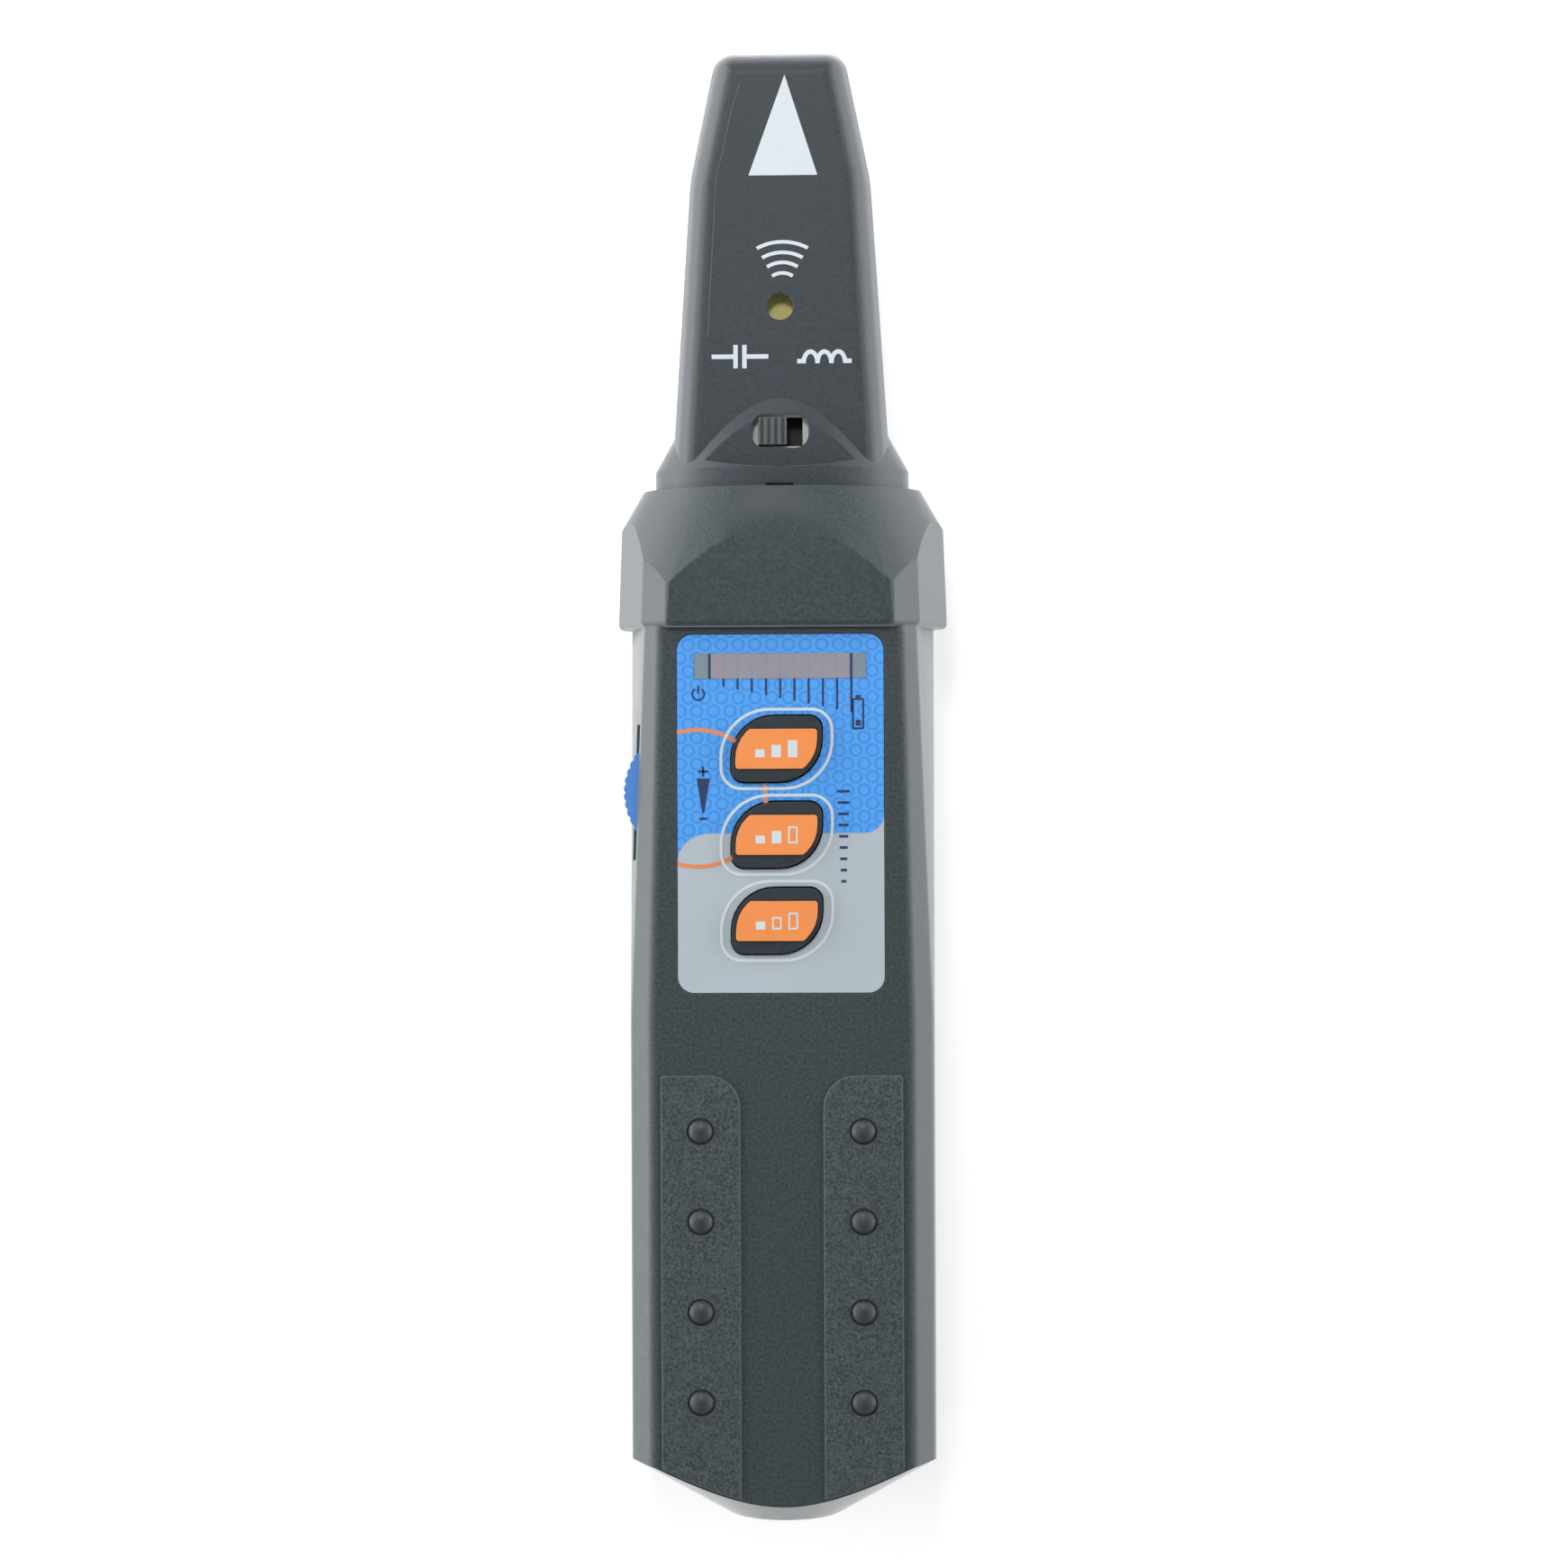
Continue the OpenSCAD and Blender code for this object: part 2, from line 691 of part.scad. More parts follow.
module rear_case() {
    half_l = (bay_y1 - bay_y0) / 2;
    bay_y = bay_y0 + half_l;
    color("#434d4f") difference() {
        union() {
            difference() {
                intersection() {
                    case_form();
                    rear_half();
                }
                case_cavity();
            }
            at_case_screws() disc(0, 0, seat - rear_h, 0, post_r);
            difference() {
                block(0, bay_y, wall - seat - part_z, roof_z + bay_wall - part_z,
                    2 * (bay_x + bay_wall), 2 * (half_l + bay_wall));
                block(0, bay_y, -part_z, roof_z - part_z, 2 * bay_x, 2 * half_l);
            }
            for (s = [-1, 1], t = [-1, 0, 1])
                block(s * (bat_w / 2 + seat + bay_x + over) / 2, bay_y0 + bat_l * (t + 2) / 4,
                    wall + seat - part_z, roof_z - part_z, bay_x + over - bat_w / 2 - seat, rib_t);
        }
        at_case_screws() disc(0, 0, -rear_h - over, over, screw_r + fit);
        at_case_screws() disc(0, 0, -rear_h - over, sink - rear_h, head_r + fit);
        translate([-door_w / 2 - seat, tail_y - over, -over])
            cube([door_w + 2 * seat, door_y1 + seat - tail_y + over, wall + seat + over]);
        translate([-bay_x, tail_y - over, tongue_z0 - seat])
            cube([2 * bay_x, door_y1 + seat - tail_y + over, tongue_t + 2 * seat]);
        block(0, bay_y1, bat_h - lead_gap, bat_h + lead_gap, 2 * (lead_x + lead_gap), 2 * (bay_wall + over));
        notch_cut();
    }
}

// Plan of the nose from y0 to the tip
module nose_outline(y0) {
    yk = tip_y - nose_tip_l;
    polygon(rounded([[-nose_base_w / 2, y0], [nose_base_w / 2, y0], [nose_knee_w / 2, yk],
        [nose_tip_w / 2, tip_y], [-nose_tip_w / 2, tip_y], [-nose_knee_w / 2, yk]],
        [0, 0, knee_r, tip_r, tip_r, knee_r]));
}

// Pillow form of half a nose from height h0 up, inset by d
module nose_form(d, y0, h0) {
    hull() {
        for (i = [0:few]) {
            top = nose_flank + (nose_h - d - nose_flank) * sin(90 * i / few);
            inset = d + nose_draft * min(i, 1) + nose_round * (1 - cos(90 * i / few));
            between(i == 0 ? h0 : top - slice, top) offset(delta = -inset) nose_outline(y0);
        }
    }
}

// Half oval along Y, from height h0 up, with a straight or a tapered side
module half_oval(y0, y1, a0, b0, a1, h0) {
    translate([0, y1, part_z]) rotate([90, 0, 0]) linear_extrude(y1 - y0, scale = a0 / a1)
        polygon(concat([[a1, h0]], [for (i = [0:oval_n]) a1 / a0 * [a0 * cos(180 * i / oval_n),
            b0 * sin(180 * i / oval_n)]], [[-a1, h0]]));
}

// Half of the nose with its neck, above the parting line
module nose_half() {
    bore_a = spigot_a - neck_wall;
    bore_b = spigot_b - neck_wall;
    difference() {
        union() {
            half_oval(guard_y1, flare_y0, ring_a, ring_b, ring_a, 0);
            half_oval(flare_y0, flare_y0 + flare_l, ring_a, ring_b, flare_a, 0);
            half_oval(spigot_y0, guard_y1 + slit_t, spigot_a, spigot_b, spigot_a, 0);
            half_oval(spigot_y0, spigot_y0 + spigot_lip_t, lip_a, lip_b, lip_a, 0);
            nose_form(0, guard_y1 + slit_t, 0);
        }
        nose_form(wall, guard_y1 - slit_t, -over);
        half_oval(spigot_y0 - over, guard_y1 + ring_l / 2, bore_a, bore_b, bore_a, -over);
    }
}

module nose_front() {
    color("#474f54") difference() {
        union() {
            difference() {
                nose_half();
                disc(0, flare_y0 + pocket_r, pocket_h, guard_h, pocket_r);
            }
            at_nose_screws() disc(0, 0, sensor_h1, nose_ceiling + seat, small_post_r);
            difference() {
                disc(0, sound_y, disc_h1, nose_ceiling + seat, disc_r - seat);
                disc(0, sound_y, 0, guard_h, disc_r - seat - disc_rib_t);
            }
        }
        at_nose_screws() disc(0, 0, 0, nose_ceiling - seat, small_r + run);
        disc(0, sound_y, 0, guard_h, sound_d / 2);
        translate([0, window_y, 0]) between(0, guard_h) polygon(rounded_box(window_l, window_h, window_r));
        block(0, window_y, 0, frame_h1, slider_l + 2 * seat, slider_w + 2 * seat);
        block(0, guard_y1 + slit_t / 2, ring_b - slit_d, guard_h, slit_w, slit_t);
    }
}

module nose_rear() {
    color("#474f54") difference() {
        union() {
            translate([0, 0, 2 * part_z]) mirror([0, 0, 1]) nose_half();
            at_nose_screws() disc(0, 0, seat - nose_h + small_sink / 2, sensor_h0, small_post_r);
            for (y = [rod_y0 + board_edge, rod_y1 - rib_t / 2])
                block(0, y, -nose_ceiling - seat, rod_h, saddle_w, rib_t);
        }
        at_nose_screws() disc(0, 0, -nose_h - over, sensor_h0 + over, small_r + seat);
        at_nose_screws() disc(0, 0, -nose_h - over, small_sink - nose_h, small_head_r + seat);
        translate([0, rod_y0, part_z + rod_h]) rotate([-90, 0, 0]) cylinder(h = rod_l, r = rod_r + run);
    }
}

module front_label() {
    color("#54a3f3") difference() {
        translate([0, label_y, 0]) between(front_h - label_t, front_h)
            polygon(rounded_box(label_w, label_l, label_r - seat));
        translate([0, display_y, 0]) between(0, guard_h) square([display_w, display_h], center = true);
        for (i = [0:2]) at_key(i) between(0, guard_h) key_outline(fit);
    }
}

module display_window() {
    color("#949399") translate([0, display_y, 0]) between(lens_h0, front_h)
        square([display_w - 2 * run, display_h - 2 * run], center = true);
}

module indicator_bar() {
    pitch = led_l / 10;
    color("#949399") {
        block(0, display_y, board_h1, board_h1 + led_base_h, led_l, led_w);
        for (i = [0:9])
            block((i + 1 / 2) * pitch - led_l / 2, display_y, board_h1, lens_h0, pitch - led_gap, led_face);
    }
}

module end_indicator(s) {
    block(s * (led_l / 2 + run + end_led_w / 2), display_y, board_h1, lens_h0, end_led_w, led_face);
}

module power_indicator() {
    color("#8092a0") end_indicator(-1);
}

module battery_indicator() {
    color("#8092a0") end_indicator(1);
}

module main_board() {
    color("#2f6b45") difference() {
        block(0, (board_y0 + board_y1) / 2, board_h0, board_h1, board_w, board_y1 - board_y0);
        at_board_screws() disc(0, 0, 0, front_h, small_r + seat);
    }
}

module face_outline() {
    intersection() {
        key_outline(-face_inset);
        polygon(rounded_box(key_w, face_l, small_corner));
    }
}

module key_cap() {
    difference() {
        union() {
            between(flange_h0, key_h1) key_outline(0);
            between(flange_h0, flange_h1) key_outline(key_flange);
            disc(0, 0, stem_h0, flange_h1, plunger_r);
        }
        between(face_h0, key_h1 + over) offset(delta = run) face_outline();
    }
}

module high_key() {
    color("#383f46") at_key(0) key_cap();
}

module middle_key() {
    color("#383f46") at_key(1) key_cap();
}

module low_key() {
    color("#383f46") at_key(2) key_cap();
}

module key_face() {
    color("#f69557") between(face_h0, face_h0 + face_t) face_outline();
}

module high_key_face() {
    at_key(0) key_face();
}

module middle_key_face() {
    at_key(1) key_face();
}

module low_key_face() {
    at_key(2) key_face();
}

module key_switches() {
    color("#26282b") for (i = [0:2]) at_key(i) difference() {
        block(0, 0, board_h1, board_h1 + tact_h, tact_w, tact_w);
        disc(0, 0, board_h1 + tact_h - plunger_in - key_travel - fit, front_h, plunger_r + run);
    }
}

module plunger() {
    color("#d8d4c8") disc(0, 0, board_h1 + tact_h - plunger_in, stem_h0, plunger_r);
}

module high_plunger() {
    at_key(0) plunger();
}

module middle_plunger() {
    at_key(1) plunger();
}

module low_plunger() {
    at_key(2) plunger();
}

module thumbwheel() {
    color("#5087d6") difference() {
        disc(wheel_x, wheel_y, wheel_h0, wheel_h1, wheel_r);
        disc(wheel_x, wheel_y, 0, guard_h, shaft_r + run);
        for (i = [0:knurl_n - 1])
            translate([wheel_x, wheel_y, 0]) rotate(360 * i / knurl_n)
                disc(wheel_r, 0, 0, guard_h, knurl_d);
    }
}

module pot_body() {
    color("#30343a") difference() {
        disc(wheel_x, wheel_y, board_h1, board_h1 + pot_h, pot_r);
        disc(wheel_x, wheel_y, board_h1 + pot_h / 2, guard_h, shaft_r + run);
    }
}

module pot_shaft() {
    color("#c9c9c4") disc(wheel_x, wheel_y, board_h1 + pot_h / 2 + run, wheel_h1, shaft_r);
}

module knob_space(g) {
    block(0, window_y, slider_h1 - knob_in - g, guard_h, knob_l + knob_travel + 2 * g, knob_w + 2 * g);
}

module slide_switch_body() {
    color("#26282b") difference() {
        block(0, window_y, sensor_h1, slider_h1, slider_l, slider_w);
        knob_space(fit / 2);
    }
}

module slide_switch_frame() {
    color("#b5b5b3") difference() {
        block(0, window_y, slider_h1, frame_h1, slider_l, slider_w);
        knob_space(fit / 2);
    }
}

module slide_switch_knob() {
    top = pocket_h + knob_proud;
    x = -knob_travel / 2;
    color("#4a5354") difference() {
        block(x, window_y, slider_h1 - knob_in, top, knob_l, knob_w);
        for (i = [0:knob_rib_n - 1])
            block(x + knob_l * ((i + 1 / 2) / knob_rib_n - 1 / 2), window_y, top - knob_rib_d, top + over,
                knob_rib_share * knob_l / knob_rib_n, knob_w + over);
    }
}

module sensor_board() {
    color("#2f6b45") difference() {
        block(0, (sensor_y0 + sensor_y1) / 2, sensor_h0, sensor_h1, sensor_w, sensor_l);
        at_nose_screws() disc(0, 0, 0, front_h, small_r + seat);
    }
}

module sounder_disc() {
    color("#8c844d") disc(0, sound_y, disc_h1 - disc_t, disc_h1, disc_r);
}

module sounder_ceramic() {
    color("#d8d4c8") disc(0, sound_y, disc_h1 - 2 * disc_t, disc_h1 - disc_t, ceramic_r);
}

module along_rod(y0, y1, r) {
    translate([0, y0, part_z + rod_h]) rotate([-90, 0, 0]) cylinder(h = y1 - y0, r = r);
}

module ferrite_rod() {
    color("#3a3d40") along_rod(rod_y0, rod_y1, rod_r);
}

module coil_bobbin() {
    y0 = bobbin_y - bobbin_l / 2;
    y1 = bobbin_y + bobbin_l / 2;
    color("#d8d4c8") difference() {
        union() {
            along_rod(y0, y0 + rib_t / 2, bobbin_r);
            along_rod(y1 - rib_t / 2, y1, bobbin_r);
            along_rod(y0, y1, rod_r + small_corner);
        }
        along_rod(y0 - over, y1 + over, rod_r + run);
    }
}

module pickup_coil() {
    y0 = bobbin_y - bobbin_l / 2 + rib_t / 2;
    y1 = bobbin_y + bobbin_l / 2 - rib_t / 2;
    color("#b06a3a") difference() {
        along_rod(y0, y1, bobbin_r - seat);
        along_rod(y0 - over, y1 + over, rod_r + small_corner);
    }
}

module pickup_plate() {
    color("#b06a3a") block(0, tip_y - plate_dy, nose_ceiling - disc_t, nose_ceiling, plate_w, plate_l);
}

// Height along an even bend between two heights
function bend(h0, h1, t) = h0 + (h1 - h0) * t * t * (3 - 2 * t);

module ribbon_cable() {
    h0 = (board_h0 + board_h1) / 2;
    h1 = (sensor_h0 + sensor_h1) / 2;
    steps = [for (i = [0:4 * few]) i / (4 * few)];
    mid = [for (t = steps) [board_y1 + t * (sensor_y0 - board_y1), bend(h0, h1, t)]];
    n = len(mid);
    color("#9aa0a6") translate([-ribbon_w / 2, 0, part_z]) rotate([90, 0, 90]) linear_extrude(ribbon_w)
        polygon(concat([for (p = mid) p + [0, ribbon_t / 2]],
            [for (i = [0:n - 1]) mid[n - 1 - i] - [0, ribbon_t / 2]]));
}

module battery() {
    color("#6f7478") along_y(bat_y0, bat_y1) translate([0, bat_h]) polygon(rounded_box(bat_w, bat_t, bat_r));
}

module along_bay(x, y0, y1, r) {
    translate([x, y0, part_z + bat_h]) rotate([-90, 0, 0]) cylinder(h = y1 - y0, r = r);
}

module battery_terminals() {
    color("#b9bcbe") {
        along_bay(-bat_w / 4, bat_y1, bat_y1 + stud_h, stud_r);
        along_bay(bat_w / 4, bat_y1, bat_y1 + stud_h, cup_r);
    }
}

module battery_clip() {
    color("#1f2123") difference() {
        along_y(clip_y0, clip_y1) translate([0, bat_h]) polygon(rounded_box(bat_w - 2 * fit, clip_h, bat_r));
        along_bay(-bat_w / 4, bat_y1, bat_y1 + stud_h + seat, stud_r + seat);
        along_bay(bat_w / 4, bat_y1, bat_y1 + stud_h + seat, cup_r + seat);
    }
}

// Round lead from the snap connector to the main board
module lead(x) {
    h1 = (board_h0 + board_h1) / 2;
    n = 3 * few;
    m = 2 * few;
    mid = [for (i = [0:n]) let (t = i / n)
        [clip_y1 + t * (board_y0 - clip_y1), bend(bat_h, h1, t)]];
    slope = [for (i = [0:n]) i == 0 || i == n ? [1, 0] : unit(mid[i + 1] - mid[i - 1])];
    pts = [for (i = [0:n], k = [0:m - 1]) let (a = 360 * k / m)
        [x + lead_r * cos(a), mid[i].x - lead_r * sin(a) * slope[i].y,
            part_z + mid[i].y + lead_r * sin(a) * slope[i].x]];
    sides = [for (i = [0:n - 1], k = [0:m - 1], s = [0, 1]) let (q = (k + 1) % m)
        s == 0 ? [i * m + k, (i + 1) * m + k, (i + 1) * m + q] : [i * m + k, (i + 1) * m + q, i * m + q]];
    polyhedron(pts, concat(sides, [[for (k = [0:m - 1]) k]], [[for (k = [0:m - 1]) n * m + m - 1 - k]]));
}

module red_lead() {
    color("#b03030") lead(lead_x);
}

module black_lead() {
    color("#1f2123") lead(-lead_x);
}

module battery_door() {
    color("#434d4f") difference() {
        intersection() {
            body_form(0, guard_y0);
            union() {
                translate([-door_w / 2, tail_y, door_relief])
                    cube([door_w, door_y1 - tail_y, wall - door_relief]);
                translate([-door_w / 2 - tongue_w, tail_y, tongue_z0])
                    cube([door_w + 2 * tongue_w, door_y1 - tail_y, tongue_t]);
            }
        }
        for (i = [0:ridge_n - 1])
            translate([-ridge_w / 2, door_y1 - ridge_dy - i * ridge_pitch, door_relief - over])
                cube([ridge_w, ridge_t, ridge_d + over]);
    }
}

module battery_foam() {
    y = (bat_y0 + bat_y1) / 2;
    color("#2a2c2e") block(0, y, bat_z1 - part_z, roof_z - part_z, bat_w - 2 * bat_r, bat_l / 2);
}

// Screw with a cross recess, its head from h0 to h1 and its shank on to h2
module screw(h0, h1, h2, big_r, r) {
    reach = 2 * cross_share * big_r;
    difference() {
        union() {
            disc(0, 0, h0, h1, big_r);
            disc(0, 0, h1, h2, r);
        }
        block(0, 0, h0 - over, h0 + cross_d, reach, cross_t);
        block(0, 0, h0 - over, h0 + cross_d, cross_t, reach);
    }
}

module case_screws() {
    color("#8f9396") at_case_screws() screw(sink - head_t - rear_h, sink - rear_h, screw_in, head_r, screw_r);
}

module nose_screws() {
    h1 = small_sink - nose_h;
    color("#8f9396") at_nose_screws() screw(h1 - small_head_t, h1, nose_ceiling - over, small_head_r, small_r);
}

module board_screws() {
    head_h0 = board_h0 - small_head_t;
    color("#8f9396") at_board_screws() screw(head_h0, board_h0, board_h1 + small_in, small_head_r, small_r);
}

front_case();
rear_case();
nose_front();
nose_rear();
front_label();
display_window();
indicator_bar();
power_indicator();
battery_indicator();
main_board();
high_key();
middle_key();
low_key();
high_key_face();
middle_key_face();
low_key_face();
key_switches();
high_plunger();
middle_plunger();
low_plunger();
thumbwheel();
pot_body();
pot_shaft();
slide_switch_body();
slide_switch_frame();
slide_switch_knob();
sensor_board();
sounder_disc();
sounder_ceramic();
ferrite_rod();
coil_bobbin();
pickup_coil();
pickup_plate();
ribbon_cable();
battery();
battery_terminals();
battery_clip();
red_lead();
black_lead();
battery_door();
battery_foam();
case_screws();
nose_screws();
board_screws();
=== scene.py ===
"""Looks of a hand-held cable locator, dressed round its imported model.

Metres. The locator lies on its back: X to the right, Y towards the nose, Z out of the front.
Sizes named here are in millimetres, and MM turns them into metres.
"""
import json
import math

import bpy
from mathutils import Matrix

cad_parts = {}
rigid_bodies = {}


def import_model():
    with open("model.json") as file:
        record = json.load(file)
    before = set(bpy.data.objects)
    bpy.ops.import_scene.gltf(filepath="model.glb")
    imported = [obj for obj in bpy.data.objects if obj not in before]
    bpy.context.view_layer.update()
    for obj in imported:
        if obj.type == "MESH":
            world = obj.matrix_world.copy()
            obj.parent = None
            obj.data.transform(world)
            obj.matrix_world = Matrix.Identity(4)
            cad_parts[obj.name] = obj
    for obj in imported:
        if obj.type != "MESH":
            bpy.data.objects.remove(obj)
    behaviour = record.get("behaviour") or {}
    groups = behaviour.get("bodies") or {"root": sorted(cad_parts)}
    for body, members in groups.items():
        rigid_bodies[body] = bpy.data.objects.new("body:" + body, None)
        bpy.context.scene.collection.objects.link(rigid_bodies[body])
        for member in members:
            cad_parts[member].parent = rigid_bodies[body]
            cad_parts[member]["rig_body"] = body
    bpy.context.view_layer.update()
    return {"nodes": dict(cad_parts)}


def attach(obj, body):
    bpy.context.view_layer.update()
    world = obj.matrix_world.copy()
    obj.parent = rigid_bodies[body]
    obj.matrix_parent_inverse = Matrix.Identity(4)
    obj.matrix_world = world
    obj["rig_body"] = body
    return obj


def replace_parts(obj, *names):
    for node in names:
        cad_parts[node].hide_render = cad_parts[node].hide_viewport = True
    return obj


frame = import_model()

MM = 0.001


def span(node):
    """Low and high corner of a CAD node in millimetres."""
    spots = [v.co for v in frame["nodes"][node].data.vertices]
    low = [round(min(s[i] for s in spots) / MM, 3) for i in range(3)]
    high = [round(max(s[i] for s in spots) / MM, 3) for i in range(3)]
    return low, high


def centre(node):
    """Middle of a CAD node in millimetres."""
    return [(a + b) / 2 for a, b in zip(*span(node))]


# Faces that carry a print, the thickness of the ink, and the step from a print to one over it
LABEL_TOP = span("front_label")[1][2]
KEY_FACE_TOP = span("high_key_face")[1][2]
NOSE_TOP = 26.3
INK = 0.04
OVERPRINT = 0.01

# Label and display, with the blue rim that covers the top of the window
LABEL_HALF, LABEL_Y1 = span("front_label")[1][:2]
LABEL_R = 2.85
DISPLAY_W, DISPLAY_H = 30.7, 5.0
DISPLAY_Y = centre("display_window")[1]
DISPLAY_Y0 = DISPLAY_Y - DISPLAY_H / 2
DISPLAY_Y1 = DISPLAY_Y + DISPLAY_H / 2
DISPLAY_RIM = 0.45

# Keys
KEY_X = centre("high_key_face")[0]
KEYS = {level: centre(f"{level}_key_face")[1] for level in ("high", "middle", "low")}
KEY_W, KEY_L = 16.0, 11.7
KEY_SMALL_R, KEY_BIG_R, KEY_GAP = 2.2, 7.6, 0.3

# Raised strips with their dots
STRIP_IN, STRIP_Y1, STRIP_FLOOR = 7.5, -51.9, 32.4
DOT_X, DOT_R, DOT_GROOVE = 14.5, 2.1, 0.35
DOT_Y0, DOT_PITCH, DOT_COUNT = -110.2, 16.1, 4

# Outlines


def rounded(points, radii, steps=8):
    """Outline through corner points, each with its own radius."""
    outline = []
    for i, (px, py) in enumerate(points):
        ax, ay = points[i - 1]
        bx, by = points[(i + 1) % len(points)]
        r = radii[i]
        if r <= 0:
            outline.append((px, py))
            continue
        u = math.atan2(ay - py, ax - px)
        v = math.atan2(by - py, bx - px)
        half = math.acos(math.cos(u - v)) / 2
        mid = math.atan2(math.sin(u) + math.sin(v), math.cos(u) + math.cos(v))
        cx = px + math.cos(mid) * r / math.sin(half)
        cy = py + math.sin(mid) * r / math.sin(half)
        reach = r / math.tan(half)
        a0 = math.atan2(py + math.sin(u) * reach - cy, px + math.cos(u) * reach - cx)
        a1 = math.atan2(py + math.sin(v) * reach - cy, px + math.cos(v) * reach - cx)
        turn = (a1 - a0 + math.pi) % (2 * math.pi) - math.pi
        for k in range(steps + 1):
            a = a0 + turn * k / steps
            outline.append((cx + r * math.cos(a), cy + r * math.sin(a)))
    return outline


def box(x0, y0, x1, y1):
    return [(x0, y0), (x1, y0), (x1, y1), (x0, y1)]


def leaf(x, y, width, length, small, big):
    """Key outline with two small and two large corners."""
    corners = box(x - width / 2, y - length / 2, x + width / 2, y + length / 2)
    return rounded(corners, (small, big, small, big), steps=14)


def arc_band(x, y, r, start, end, width, steps=40):
    """Stroke of even width along an arc, angles in degrees."""
    turns = [math.radians(start + (end - start) * k / steps) for k in range(steps + 1)]
    far, near = r + width / 2, r - width / 2
    outer = [(x + far * math.cos(a), y + far * math.sin(a)) for a in turns]
    inner = [(x + near * math.cos(a), y + near * math.sin(a)) for a in turns]
    return outer + inner[::-1]


def coil(x0, x1, y, humps, reach, rise, width, steps=24):
    """Sign of a coil in one outline: humps in a row on a line, with a lead at each end."""
    half = width / 2
    middle = (x0 + x1) / 2
    centres = [middle + reach * (2 * i - humps + 1) for i in range(humps)]
    meet = math.acos(reach / (reach + half))
    lead = math.asin(width / (rise + half))
    over, under = [], []
    for i, x in enumerate(centres):
        start = lead if i == 0 else meet
        end = lead if i == humps - 1 else meet
        for k in range(steps + 1):
            a = math.pi - start - (math.pi - start - end) * k / steps
            over.append((x + (reach + half) * math.cos(a), y + (rise + half) * math.sin(a)))
            a = math.pi * (1 - k / steps)
            under.append((x + (reach - half) * math.cos(a), y + (rise - half) * math.sin(a)))
    return [(x0, y), (x0, y + width)] + over + [(x1, y + width), (x1, y)] + under[::-1]


def key_hole(y):
    g = KEY_GAP
    return leaf(KEY_X, y, KEY_W + 2 * g, KEY_L + 2 * g, KEY_SMALL_R + g, KEY_BIG_R + g)


# Finishes


def tone(r, g, b):
    """Shader colour for a colour given as a picture shows it, 0 to 255."""
    linear = []
    for v in (r, g, b):
        linear.append(((v / 255 + 0.055) / 1.055) ** 2.4 if v > 10 else v / 255 / 12.92)
    return (*linear, 1.0)


def scaled(colour, share):
    return (*[min(v * share, 1.0) for v in colour[:3]], 1.0)


class Wiring:
    """The nodes of a material or of the world, added and linked by short calls."""

    def __init__(self, tree):
        self.tree = tree

    def add(self, kind, links=(), **settings):
        node = self.tree.nodes.new(kind)
        for key, value in settings.items():
            setattr(node, key, value)
        for socket, value in dict(links).items():
            self.feed(node.inputs[socket], value)
        return node

    def feed(self, socket, value):
        if isinstance(value, bpy.types.NodeSocket):
            self.tree.links.new(value, socket)
        else:
            socket.default_value = value

    def reckon(self, operation, a, b=0.0, c=0.0):
        return self.add("ShaderNodeMath", {0: a, 1: b, 2: c}, operation=operation).outputs[0]

    def between(self, value, low, high, out_low=0.0, out_high=1.0):
        """Value carried from one range to another, held at its ends."""
        links = {0: value, 1: low, 2: high, 3: out_low, 4: out_high}
        return self.add("ShaderNodeMapRange", links).outputs[0]


class Finish(Wiring):
    """A material in the making: its shader, and the patterns that are wired to it."""

    def __init__(self, name, **settings):
        self.material = bpy.data.materials.new(name)
        self.material.use_nodes = True
        super().__init__(self.material.node_tree)
        self.shader = self.tree.nodes["Principled BSDF"]
        for socket, value in settings.items():
            self.shader.inputs[socket.replace("_", " ")].default_value = value
        self.place = self.add("ShaderNodeTexCoord").outputs["Object"]

    def noise(self, size, detail=2.0, roughness=0.5, stretch=None):
        """Soft noise with features of about this size in millimetres."""
        place = self.place
        if stretch:
            place = self.add("ShaderNodeMapping", {"Vector": place, "Scale": stretch}).outputs[0]
        links = {"Vector": place, "Scale": 1 / (size * MM), "Detail": detail, "Roughness": roughness}
        return self.add("ShaderNodeTexNoise", links).outputs[0]

    def blend(self, share, a, b):
        node = self.add("ShaderNodeMix", data_type="RGBA")
        self.feed(node.inputs[0], share)
        self.feed(node.inputs[6], a)
        self.feed(node.inputs[7], b)
        return node.outputs[2]

    def axis(self, letter):
        split = self.add("ShaderNodeSeparateXYZ", {0: self.place})
        return split.outputs["XYZ".index(letter)]

    def rounding(self, radius):
        """Normal with the corners rounded to this radius in millimetres."""
        return self.add("ShaderNodeBevel", {"Radius": radius * MM}, samples=6).outputs[0]

    def edges(self, radius=0.3):
        """Share of edge that is painted lighter as a highlight: where the rounded normal turns away from
        the plain one.
        """
        plain = self.add("ShaderNodeNewGeometry").outputs["True Normal"]
        normals = {0: self.rounding(radius), 1: plain}
        turned = self.add("ShaderNodeVectorMath", normals, operation="DOT_PRODUCT")
        slight, full = 0.97, 0.8
        return self.between(turned.outputs["Value"], slight, full)

    def paint(self, colour):
        self.feed(self.shader.inputs["Base Color"], colour)

    def polish(self, pattern, low, high, dark=0.3, bright=0.7):
        """Roughness that runs from low where a pattern is dark to high where it is bright."""
        self.feed(self.shader.inputs["Roughness"], self.between(pattern, dark, bright, low, high))

    def relief(self, pattern, depth, edge=0.0):
        """Bumps of this depth. An edge radius rounds the corners under them. Both in millimetres."""
        links = {"Height": pattern, "Strength": 1.0, "Distance": depth * MM}
        if edge:
            links["Normal"] = self.rounding(edge)
        self.feed(self.shader.inputs["Normal"], self.add("ShaderNodeBump", links).outputs[0])


